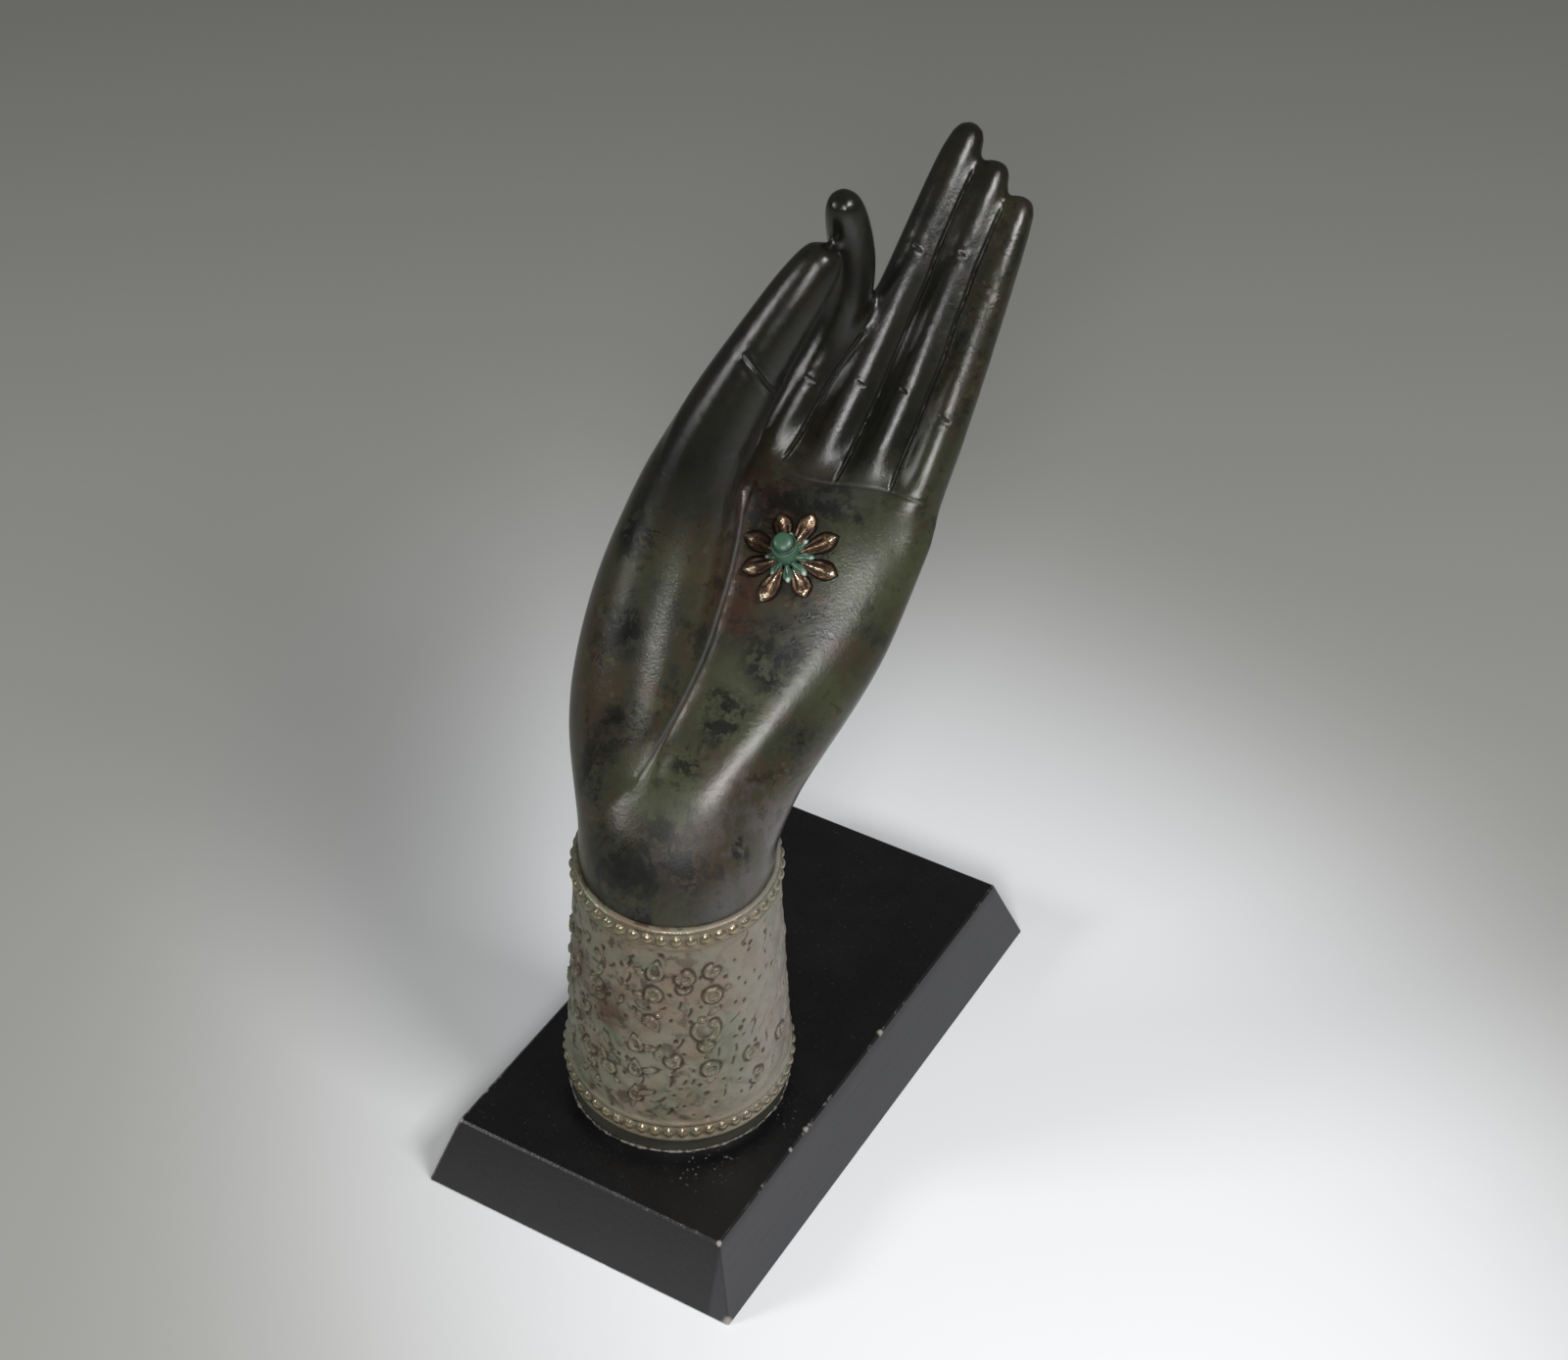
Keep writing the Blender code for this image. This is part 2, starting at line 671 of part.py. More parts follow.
class Palm:
    """The palm's surface, felt from above along the hand's own outward direction."""

    def __init__(self, hand):
        """Read the finished casting."""
        mesh = evaluated_mesh(hand)
        mesh.transform(hand.matrix_world)
        bm = bmesh.new()
        bm.from_mesh(mesh)
        self.tree = BVHTree.FromBMesh(bm)
        self.top = max((vertex.co - WRIST).dot(OUT) for vertex in bm.verts) + SEAT_CLEARANCE
        bm.free()

    def height(self, across, along):
        """Return how far the palm's surface stands out close round a place."""
        heights = []
        for step_across, step_along in ((0, 0), (1, 0), (0, 1), (-1, 0), (0, -1)):
            near_across = across + step_across * PROBE_SPREAD
            near_along = along + step_along * PROBE_SPREAD
            start = hand_point(near_across, near_along, self.top)
            heights.append(self.top - self.tree.ray_cast(start, -OUT)[3])
        return max(heights)


def petal_reach(angle):
    """Return how far a rosette edge reaches at an angle, and how far off a petal's middle it is."""
    step = 2.0 * math.pi / ROSETTE_PETALS
    turned = (angle - ROSETTE_TURN) / step
    off = abs(turned - round(turned)) * 2.0
    share = (1.0 - off) ** 0.55
    return ROSETTE_WAIST + (ROSETTE_RADIUS - ROSETTE_WAIST) * share, off


def make_rosette(palm):
    """Build the rosette of spoon-shaped petals, laid on the palm."""
    angles = [2.0 * math.pi * index / ROSETTE_COLUMNS for index in range(ROSETTE_COLUMNS)]

    def seat(angle, radius):
        across = ROSETTE_ACROSS + radius * math.cos(angle)
        along = ROSETTE_ALONG + radius * math.sin(angle)
        return across, along, palm.height(across, along) + PETAL_CLEARANCE

    disc_height = max(seat(angle, BOSS_SKIRT_RADIUS)[2] for angle in angles)
    disc_height = max(disc_height, palm.height(ROSETTE_ACROSS, ROSETTE_ALONG) + PETAL_CLEARANCE)
    disc_height += ROSETTE_THICKNESS * 0.6
    under = []
    for share in (0.5, 1.0):
        under.append([seat(angle, petal_reach(angle)[0] * share) for angle in angles])
    over = []
    for share, rise in ((1.0, 0.35), (0.93, 1.0), (0.72, 1.25)):
        ring = []
        for angle in angles:
            reach, off = petal_reach(angle)
            across, along, height = seat(angle, reach * share)
            spoon = 1.0 - PETAL_GROOVE * (1.0 - off) ** 2 if share < 1.0 else 1.0
            ring.append((across, along, height + ROSETTE_THICKNESS * rise * spoon))
        over.append(ring)
    disc = []
    for angle in angles:
        across, along, _ = seat(angle, BOSS_SKIRT_RADIUS)
        disc.append((across, along, disc_height))
    bm = bmesh.new()
    rings = [[hand_point(*point) for point in ring] for ring in under + over + [disc]]
    loops = bridge_rings(bm, rings, close_ends=False)
    middle = (ROSETTE_ACROSS, ROSETTE_ALONG)
    close_with_point(bm, loops[0], hand_point(*middle, palm.height(*middle) + PETAL_CLEARANCE))
    close_with_point(bm, loops[-1], hand_point(*middle, disc_height))
    rosette = object_from_bmesh("palm_rosette", bm, PARTS)
    finish(rosette, principled("worn gilt", (0.52, 0.36, 0.17), 0.4, 0.9), 40.0)
    return disc_height


def make_boss(disc_height):
    """Build the green boss with its skirt of small petals, on the middle of the rosette."""
    seat_height = disc_height + SEAT_CLEARANCE
    rings = []
    for radius, rise, lobed in BOSS_PROFILE:
        ring = []
        for index in range(BOSS_COLUMNS):
            angle = 2.0 * math.pi * index / BOSS_COLUMNS
            wave = math.cos(angle * ROSETTE_PETALS) if lobed else 0.0
            reach = radius * (1.0 + BOSS_LOBE * wave)
            across = ROSETTE_ACROSS + reach * math.cos(angle)
            along = ROSETTE_ALONG + reach * math.sin(angle) + BOSS_LEAN * rise / BOSS_HEIGHT
            ring.append(hand_point(across, along, seat_height + rise))
        rings.append(ring)
    bm = bmesh.new()
    loops = bridge_rings(bm, rings, close_ends=False)
    bm.faces.new(loops[0])
    top = hand_point(ROSETTE_ACROSS, ROSETTE_ALONG + BOSS_LEAN, seat_height + BOSS_HEIGHT)
    close_with_point(bm, loops[-1], top)
    boss = object_from_bmesh("rosette_boss", bm, PARTS)
    finish(boss, principled("green enamel", (0.10, 0.30, 0.22), 0.35, 0.0), 35.0)


def make_fixing():
    """Build the screw that holds the casting on the plinth, and its washer."""
    seat = COUNTERBORE_DEPTH - SEAT_CLEARANCE
    washer_top = seat
    washer_bottom = washer_top - WASHER_THICKNESS
    inner = SCREW_RADIUS + SEAT_CLEARANCE
    washer = turned(
        "washer",
        [
            (inner, washer_top),
            (WASHER_RADIUS, washer_top),
            (WASHER_RADIUS, washer_bottom),
            (inner, washer_bottom),
        ],
    )
    finish(washer, principled("zinc plate", (0.55, 0.56, 0.58), 0.35, 1.0), 35.0)
    head_top = washer_bottom - SEAT_CLEARANCE
    head_bottom = head_top - SCREW_HEAD_HEIGHT
    tip = PLINTH_HEIGHT + SCREW_GRIP_IN_HAND
    screw = turned(
        "fixing_screw",
        [
            (0.0, tip),
            (SCREW_RADIUS - SCREW_TIP_CHAMFER, tip),
            (SCREW_RADIUS, tip - SCREW_TIP_CHAMFER),
            (SCREW_RADIUS, head_top),
            (SCREW_HEAD_RADIUS, head_top),
            (SCREW_HEAD_RADIUS, head_bottom + SCREW_TIP_CHAMFER),
            (SCREW_HEAD_RADIUS - SCREW_TIP_CHAMFER, head_bottom),
            (0.0, head_bottom),
        ],
    )
    socket_top = head_bottom + SCREW_SOCKET_DEPTH
    socket = cylinder(
        "hex socket", SCREW_SOCKET_RADIUS, head_bottom - CUT_MARGIN, socket_top, HEX_SIDES
    )
    add_boolean(screw, socket, "DIFFERENCE")
    finish(screw, principled("steel", (0.50, 0.50, 0.52), 0.35, 1.0), 35.0)


def main():
    """Build every part of the figurine."""
    make_plinth()
    hand = make_hand()
    finish(hand, principled("dark bronze", (0.10, 0.095, 0.075), 0.38, 0.85), 50.0)
    make_cuff()
    disc_height = make_rosette(Palm(hand))
    make_boss(disc_height)
    make_fixing()


main()
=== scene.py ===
"""Looks of the hand figurine: dark bronze, a verdigris cuff, a gilt rosette and a black plinth.

Lengths are in metres in the frame's own axes, unless a docstring says millimetres. The CAD nodes
carry the construction; this script gives the hand its carving, the cuff its relief, the rosette
its petals, and every surface a finish.
"""

import logging
import math
from dataclasses import dataclass, field, replace
from enum import Enum
from itertools import combinations
from typing import Optional, Union

import bmesh
import bpy
import numpy as np
from mathutils import Matrix, Vector
from mathutils.bvhtree import BVHTree

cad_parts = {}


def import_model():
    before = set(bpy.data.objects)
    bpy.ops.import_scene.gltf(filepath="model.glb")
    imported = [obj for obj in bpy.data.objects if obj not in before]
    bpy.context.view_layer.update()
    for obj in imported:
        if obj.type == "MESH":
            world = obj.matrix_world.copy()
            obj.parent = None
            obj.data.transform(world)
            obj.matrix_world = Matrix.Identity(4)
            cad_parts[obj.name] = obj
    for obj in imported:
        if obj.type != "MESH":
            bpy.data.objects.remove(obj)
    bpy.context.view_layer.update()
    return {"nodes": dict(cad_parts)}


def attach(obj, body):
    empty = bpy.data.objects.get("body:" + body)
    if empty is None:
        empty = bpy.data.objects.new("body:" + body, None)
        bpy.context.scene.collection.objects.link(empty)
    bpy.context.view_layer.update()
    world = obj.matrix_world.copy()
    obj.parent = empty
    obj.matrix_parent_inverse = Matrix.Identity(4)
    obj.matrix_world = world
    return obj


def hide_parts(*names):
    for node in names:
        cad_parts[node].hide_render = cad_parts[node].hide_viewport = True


LOG = logging.getLogger("hand_figurine")
BODY = "root"
MILLIMETRE = 0.001
MERGE_DISTANCE = 0.00002
CORNER_CUTS = 3
FEEL_FROM = 0.070
FULL_SHARE = 0.35  # a patch is at full strength within this share of its reach
UP = Vector((0.0, 0.0, 1.0))

Colour = tuple[float, float, float]
Place = tuple[float, float, float]
Line = tuple[tuple[float, float], ...]
Socket = bpy.types.NodeSocket
Layer = bmesh.types.BMLayerItem
Value = Union[bpy.types.NodeSocket, float, Colour]
UNMOVED: Place = (0.0, 0.0, 0.0)
UNSCALED: Place = (1.0, 1.0, 1.0)


class Slot(Enum):
    """The record's material slots for the new pieces; the script defines them but gives no piece
    its finish through them.
    """

    HAND = "hand"
    CUFF = "cuff"
    ROSETTE = "rosette"
    BOSS = "boss"


@dataclass(frozen=True)
class HandDirections:
    """The hand's own directions: across the palm, along the fingers, and out of the palm."""

    wrist: Vector = field(default_factory=lambda: Vector((0.0, -0.0384, 0.1300)))
    lean_back: float = math.radians(37.0)
    lean_side: float = math.radians(7.0)
    palm_turn: float = math.radians(12.0)

    def matrix(self) -> Matrix:
        """Return the frame of the hand, as a matrix from its own directions to the world's.

        Returns:
            A matrix whose columns are across, along and out, placed at the wrist.
        """
        along = Vector((math.tan(self.lean_side), math.tan(self.lean_back), 1.0)).normalized()
        level = Vector((math.cos(self.palm_turn), math.sin(self.palm_turn), 0.0))
        across = (level - along * level.dot(along)).normalized()
        turn = Matrix((across, along, across.cross(along))).transposed()
        return Matrix.Translation(self.wrist) @ turn.to_4x4()


@dataclass(frozen=True)
class Sleeve:
    """The leaning, tapered forearm and the tilted cuff on it."""

    foot: Vector = field(default_factory=lambda: Vector((0.0, -0.0384, 0.0265)))
    lean_x: float = 0.0160
    lean_y: float = 0.0050
    foot_radius: float = 0.0360
    top_radius: float = 0.0300
    top_height: float = 0.1255
    clearance: float = 0.0003
    bottom_height: float = 0.0366
    wall_bottom: float = 0.0014
    wall_top: float = 0.0015
    tilt_x: float = 0.07
    tilt_y: float = 0.07

    def middle(self, height: float) -> Vector:
        """Return the middle of the forearm at a height."""
        rise = height - self.foot.z
        return Vector((self.foot.x + self.lean_x * rise, self.foot.y + self.lean_y * rise, height))

    def forearm_radius(self, height: float) -> float:
        """Return the forearm's radius at a height."""
        share = (height - self.foot.z) / (self.top_height - self.foot.z)
        return self.foot_radius + (self.top_radius - self.foot_radius) * share

    def field_radius(self, height: float) -> float:
        """Return the radius of the cuff's plain outer face.

        Args:
            height: the height on the cuff, in metres.

        Returns:
            The radius, in metres.
        """
        share = (height - self.bottom_height) / (self.top_height - self.bottom_height)
        wall = self.wall_bottom + (self.wall_top - self.wall_bottom) * share
        return self.forearm_radius(height) + self.clearance + wall

    def point(self, angle: float, height: float, radius: float) -> Vector:
        """Return a place on the tilted cuff.

        Args:
            angle: turn from -Y towards +X, in radians.
            height: height before the tilt is applied.
            radius: distance from the forearm's middle at that height.

        Returns:
            The place in the world.
        """
        lift = -radius * (math.sin(angle) * self.tilt_x + math.cos(angle) * self.tilt_y)
        reach = radius + self.forearm_radius(height + lift) - self.forearm_radius(height)
        direction = Vector((math.sin(angle), -math.cos(angle), 0.0))
        return self.middle(height + lift) + direction * reach


class Shader:
    """A material's node tree, built from small steps."""

    def __init__(self, name: str) -> None:
        """Start a material with one Principled BSDF.

        Args:
            name: the material's name.
        """
        self.material = bpy.data.materials.new(name)
        self.material.use_nodes = True
        self.tree = self.material.node_tree
        self.surface = self.tree.nodes["Principled BSDF"]
        self.place = self.tree.nodes.new("ShaderNodeTexCoord").outputs["Object"]

    def node(self, kind: str, inputs: dict[Union[str, int], Optional[Value]],
             **settings: str) -> bpy.types.Node:
        """Add a node.

        Args:
            kind: the node's type.
            inputs: what its inputs get, by name or number, where None leaves one alone.
            settings: its properties.

        Returns:
            The node.
        """
        made = self.tree.nodes.new(kind)
        for name, value in settings.items():
            setattr(made, name, value)
        for key, value in inputs.items():
            if value is not None:
                self.feed(made.inputs[key], value)
        return made

    def feed(self, socket: Socket, value: Value) -> None:
        """Link an output to a socket, or set the socket's own value.

        Args:
            socket: the input.
            value: an output, a number or a colour.
        """
        if isinstance(value, bpy.types.NodeSocket):
            self.tree.links.new(value, socket)
        elif socket.type == "RGBA":
            socket.default_value = (*value, 1.0)
        else:
            socket.default_value = value

    def math(self, operation: str, *values: Value) -> Socket:
        """Return the result of a Math node."""
        return self.node("ShaderNodeMath", dict(enumerate(values)), operation=operation).outputs[0]

    def plus(self, first: Value, second: Value) -> Socket:
        """Add two values."""
        return self.math("ADD", first, second)

    def less(self, first: Value, second: Value) -> Socket:
        """Take the second value from the first."""
        return self.math("SUBTRACT", first, second)

    def times(self, first: Value, second: Value) -> Socket:
        """Multiply two values."""
        return self.math("MULTIPLY", first, second)

    def most(self, first: Value, second: Value) -> Socket:
        """Return the larger of two values."""
        return self.math("MAXIMUM", first, second)

    def swing(self, noise: Value, amount: float) -> Socket:
        """Centre a noise on 0 and scale it."""
        return self.times(self.less(noise, 0.5), amount)

    def moved(self, shift: Place, scale: Place) -> Socket:
        """Return the piece's coordinates, shifted and scaled."""
        inputs = {"Vector": self.place, "Location": shift, "Scale": scale}
        return self.node("ShaderNodeMapping", inputs).outputs["Vector"]

    def noise(self, scale: float, detail: float, rough: float, shift: Place = UNMOVED,
              stretch: Place = UNSCALED, distortion: float = 0.0) -> Socket:
        """Add a noise texture on the piece's own coordinates.

        Args:
            scale: how fine it is.
            detail: how many finer noises it holds.
            rough: how strong those are.
            shift: how far the coordinates are moved.
            stretch: how the coordinates are scaled.
            distortion: how far it is warped.

        Returns:
            The noise, from 0 to 1.
        """
        plain = (shift, stretch) == (UNMOVED, UNSCALED)
        inputs = {"Vector": self.place if plain else self.moved(shift, stretch), "Scale": scale,
                  "Detail": detail, "Roughness": rough, "Distortion": distortion}
        return self.node("ShaderNodeTexNoise", inputs).outputs["Fac"]

    def step(self, value: Value, low: float, high: float) -> Socket:
        """Add a smooth step of a value.

        Args:
            value: the value.
            low: where the step is 0.
            high: where the step is 1, which may lie below low.

        Returns:
            The step, from 0 to 1.
        """
        inputs = {"Value": value, "From Min": min(low, high), "From Max": max(low, high),
                  "To Min": float(low > high), "To Max": float(low < high)}
        return self.node("ShaderNodeMapRange", inputs,
                         interpolation_type="SMOOTHSTEP").outputs["Result"]

    def mix(self, factor: Value, first: Value, second: Value) -> Socket:
        """Mix two colours, by the second one's share."""
        inputs = {0: factor, 6: first, 7: second}
        return self.node("ShaderNodeMix", inputs, data_type="RGBA").outputs[2]

    def over(self, colour: Value, cover: Value, strength: float, top: Value) -> Socket:
        """Lay a colour over another, where a cover says so and as strongly as is said."""
        return self.mix(self.times(cover, strength), colour, top)

    def scalar(self, factor: Value, first: float, second: float) -> Socket:
        """Mix two numbers, by the second one's share."""
        inputs = {0: factor, 2: first, 3: second}
        return self.node("ShaderNodeMix", inputs, data_type="FLOAT").outputs[0]

    def attribute(self, name: str) -> Socket:
        """Return a number that the mesh carries for each vertex."""
        return self.node("ShaderNodeAttribute", {}, attribute_name=name).outputs["Fac"]

    def split(self) -> tuple[Socket, Socket, Socket]:
        """Return the piece's X, Y and Z."""
        return tuple(self.node("ShaderNodeSeparateXYZ", {0: self.place}).outputs)

    def near(self, centre: Place, reach: float, ragged: Socket, rag: float) -> Socket:
        """Return how close a surface is to a place: 1 at it, 0 beyond its reach.

        Args:
            centre: the place, in millimetres.
            reach: the distance at which the effect ends, in millimetres.
            ragged: a noise that frays the edge.
            rag: how far the noise moves the edge, in millimetres.

        Returns:
            The closeness, from 0 to 1.
        """
        inputs = {0: self.place, 1: tuple(value * MILLIMETRE for value in centre)}
        away = self.node("ShaderNodeVectorMath", inputs, operation="DISTANCE").outputs["Value"]
        distance = self.plus(away, self.swing(ragged, rag * MILLIMETRE))
        return self.step(distance, reach * MILLIMETRE, reach * FULL_SHARE * MILLIMETRE)

    def bump(self, height: Value, strength: float, depth: float,
             onto: Optional[Socket] = None) -> Socket:
        """Bend the normal, or one that is bent already, by a height of so many metres."""
        inputs = {"Strength": strength, "Distance": depth, "Height": height, "Normal": onto}
        return self.node("ShaderNodeBump", inputs).outputs["Normal"]

    def set(self, **values: Value) -> bpy.types.Material:
        """Feed the Principled BSDF's sockets.

        Args:
            values: what each socket gets, with the spaces of its name as underscores.

        Returns:
            The material.
        """
        for name, value in values.items():
            self.feed(self.surface.inputs[name.replace("_", " ")], value)
        return self.material


@dataclass(frozen=True)
class Patch:
    """A patch of colour on the patina, mostly a stain and in two places a painted reflection: its
    place and reach in millimetres, its colour and its strength.
    """

    place: Place
    reach: float
    colour: Colour
    strength: float = 1.0

    def cover(self, s: Shader, ragged: Socket, fray: float) -> Socket:
        """Return where the stain lies, with an edge that frays by a multiple of its reach."""
        return s.times(s.near(self.place, self.reach, ragged, self.reach * fray), self.strength)


@dataclass(frozen=True)
class BronzePatina:
    """Satin dark bronze: olive and brown clouds, black blotches, red-brown and green stain patches,
    and a painted reflection on the wrist's right side.
    """

    olive: Colour = (0.036, 0.036, 0.020)
    brown: Colour = (0.044, 0.029, 0.018)
    green: Colour = (0.050, 0.056, 0.028)
    slate: Colour = (0.024, 0.025, 0.020)
    red: Colour = (0.048, 0.022, 0.014)
    black: Colour = (0.004, 0.005, 0.004)
    # painted reflection: a pale violet-grey sheen where the wrist's right side mirrors the bright
    # floor
    painted_reflection_mauve: Colour = (0.088, 0.078, 0.078)
    pale: Colour = (0.100, 0.112, 0.070)
    recess: Colour = (0.009, 0.008, 0.007)
    finger: Colour = (0.0075, 0.0072, 0.0052)
    stub: Colour = (0.046, 0.045, 0.033)
    roughness: float = 0.205
    stub_top: tuple[float, float] = (0.0400, 0.0370)
    fingers_from: tuple[float, float] = (0.208, 0.248)
    little_finger_side: tuple[float, float] = (0.033, 0.042)
    dull: tuple[tuple[Place, float, float], ...] = (
        ((15.0, -56.0, 144.0), 24.0, 0.24), ((17.6, 25.6, 232.0), 14.0, 0.13),
        ((26.0, 26.6, 233.0), 14.0, 0.13), ((6.0, 28.0, 236.0), 12.0, 0.13),
    )

    def stains_and_painted_sheen(self) -> tuple[Patch, ...]:
        """List the stain patches at known places of the hand, with the two patches of painted
        reflection on the wrist's right side.

        Returns:
            The patches, in the order that they are laid on.
        """
        return (
            Patch((0, -6, 208), 17, self.red, 0.9), Patch((-2, 16, 224), 16, self.red, 0.9),
            Patch((37, 0, 192), 7, self.red, 0.5), Patch((19, -38, 165), 13, self.brown, 0.9),
            Patch((-32, -38, 178), 20, self.brown, 0.7), Patch((20, -52, 146), 18, self.brown, 0.8),
            Patch((38, 20, 216), 24, self.green, 0.9), Patch((39, -8, 182), 12, self.green, 0.8),
            Patch((14, -24, 180), 18, self.green, 0.9), Patch((3, -46, 160), 17, self.green, 0.9),
            Patch((-14, -20, 212), 26, self.green, 0.5), Patch((-6, -2, 245), 24, self.slate, 0.6),
            Patch((-16, -30, 200), 22, self.slate, 0.7), Patch((40, 40, 236), 20, self.green, 0.5),
            # painted reflection: these two violet-grey patches paint the bright floor's sheen onto
            # the wrist's right side
            Patch((36, -32, 146), 20, self.painted_reflection_mauve, 0.8), Patch((32, -42, 124), 20, self.painted_reflection_mauve, 0.6),
        )

    def blotches(self) -> tuple[Patch, ...]:
        """List the black blotches at known places of the hand.

        Returns:
            The blotches.
        """
        return (
            Patch((21, -13, 188), 10, self.black, 1.0), Patch((12, -26, 176), 12, self.black, 0.9),
            Patch((8, -40, 166), 8, self.black, 0.8), Patch((11, -58, 143), 17, self.black, 0.9),
            Patch((-3, -62, 140), 12, self.black, 0.8), Patch((18, 26, 227), 12, self.black),
            Patch((4, 20, 224), 10, self.black, 0.8), Patch((-24, -14, 223), 14, self.black),
            Patch((-22, -30, 198), 12, self.black, 0.9),
            Patch((-12, -42, 174), 12, self.black, 0.8), Patch((-16, -2, 250), 12, self.black, 0.9),
            Patch((33, 46, 244), 9, self.black, 0.9), Patch((17, 36, 234), 9, self.black, 0.9),
        )

    def clouds(self, s: Shader, ragged: Socket) -> Socket:
        """Return the mottled colour below the stains.

        Args:
            s: the material.
            ragged: the noise that shapes the clouds.

        Returns:
            The colour.
        """
        colour = s.mix(s.step(ragged, 0.36, 0.43), self.recess, self.slate)
        colour = s.mix(s.step(ragged, 0.44, 0.49), colour, self.olive)
        colour = s.mix(s.step(ragged, 0.51, 0.56), colour, self.brown)
        return s.mix(s.step(ragged, 0.58, 0.64), colour, self.green)

    def blotch(self, s: Shader, ragged: Socket, other: Socket, coarse: Socket) -> Socket:
        """Return where the black blotches lie.

        Args:
            s: the material.
            ragged: the noise that frays the ones at known places.
            other: the noise that scatters the rest.
            coarse: the noise that breaks all of them up.

        Returns:
            Their cover, from 0 to 1.
        """
        cover = s.times(s.step(other, 0.44, 0.38), 0.9)
        for patch in self.blotches():
            cover = s.most(cover, patch.cover(s, ragged, 1.6))
        return s.times(cover, s.step(coarse, 0.70, 0.77))

    def material(self) -> bpy.types.Material:
        """Build the finish.

        Returns:
            The material.
        """
        s = Shader("bronze_patina")
        cloud = s.noise(38.0, 9.0, 0.66, distortion=0.9)
        other = s.noise(24.0, 8.0, 0.64, (0.31, 0.17, 0.05), (1.0, 1.0, 0.8), 0.7)
        middle = s.noise(115.0, 8.0, 0.70, (0.4, 0.2, 0.6), (1.0, 1.0, 0.9), 0.4)
        mottle = s.noise(90.0, 9.0, 0.74, (0.1, 0.5, 0.2))
        grain = s.noise(300.0, 8.0, 0.75)
        speckle = s.noise(1100.0, 4.0, 0.7)
        ragged = s.plus(cloud, s.plus(s.swing(middle, 0.55), s.swing(grain, 0.45)))
        colour = self.clouds(s, ragged)
        # stain patches, with the painted reflection on the wrist's right side laid on among them
        for patch in self.stains_and_painted_sheen():
            colour = s.mix(patch.cover(s, ragged, 2.2), colour, patch.colour)
        colour = s.over(colour, s.step(mottle, 0.52, 0.58), 0.6, self.olive)
        colour = s.over(colour, s.step(mottle, 0.46, 0.41), 0.55, self.recess)
        coarse = s.plus(middle, s.times(grain, 0.5))
        colour = s.mix(self.blotch(s, ragged, other, coarse), colour, self.black)
        fleck = s.times(s.step(grain, 0.62, 0.72), s.step(other, 0.52, 0.62))
        colour = s.over(colour, fleck, 0.55, self.pale)
        x, _, z = s.split()
        stub = s.step(z, *self.stub_top)
        colour = s.over(colour, stub, 0.9, self.stub)
        side = s.times(s.step(x, *self.little_finger_side), 0.55)
        fingers = s.times(s.step(z, *self.fingers_from), 0.86)
        colour = s.mix(s.times(fingers, s.less(1.0, side)), colour, self.finger)
        hollow = s.attribute("carved")
        colour = s.over(colour, hollow, 0.8, self.recess)
        rough = s.plus(s.times(cloud, 0.12), self.roughness - 0.06)
        rough = s.plus(rough, s.times(stub, 0.2))
        for place, reach, growth in self.dull:
            rough = s.plus(rough, s.times(s.near(place, reach, ragged, reach), growth))
        rough = s.plus(rough, s.times(hollow, 0.4))
        relief = s.bump(speckle, 0.45, 0.00014)
        relief = s.bump(grain, 0.50, 0.00018, relief)
        relief = s.bump(s.noise(60.0, 3.0, 0.5), 0.20, 0.0005, relief)
        return s.set(Base_Color=colour, Roughness=rough, Normal=relief, Metallic=0.10,
                     Specular_IOR_Level=0.52)


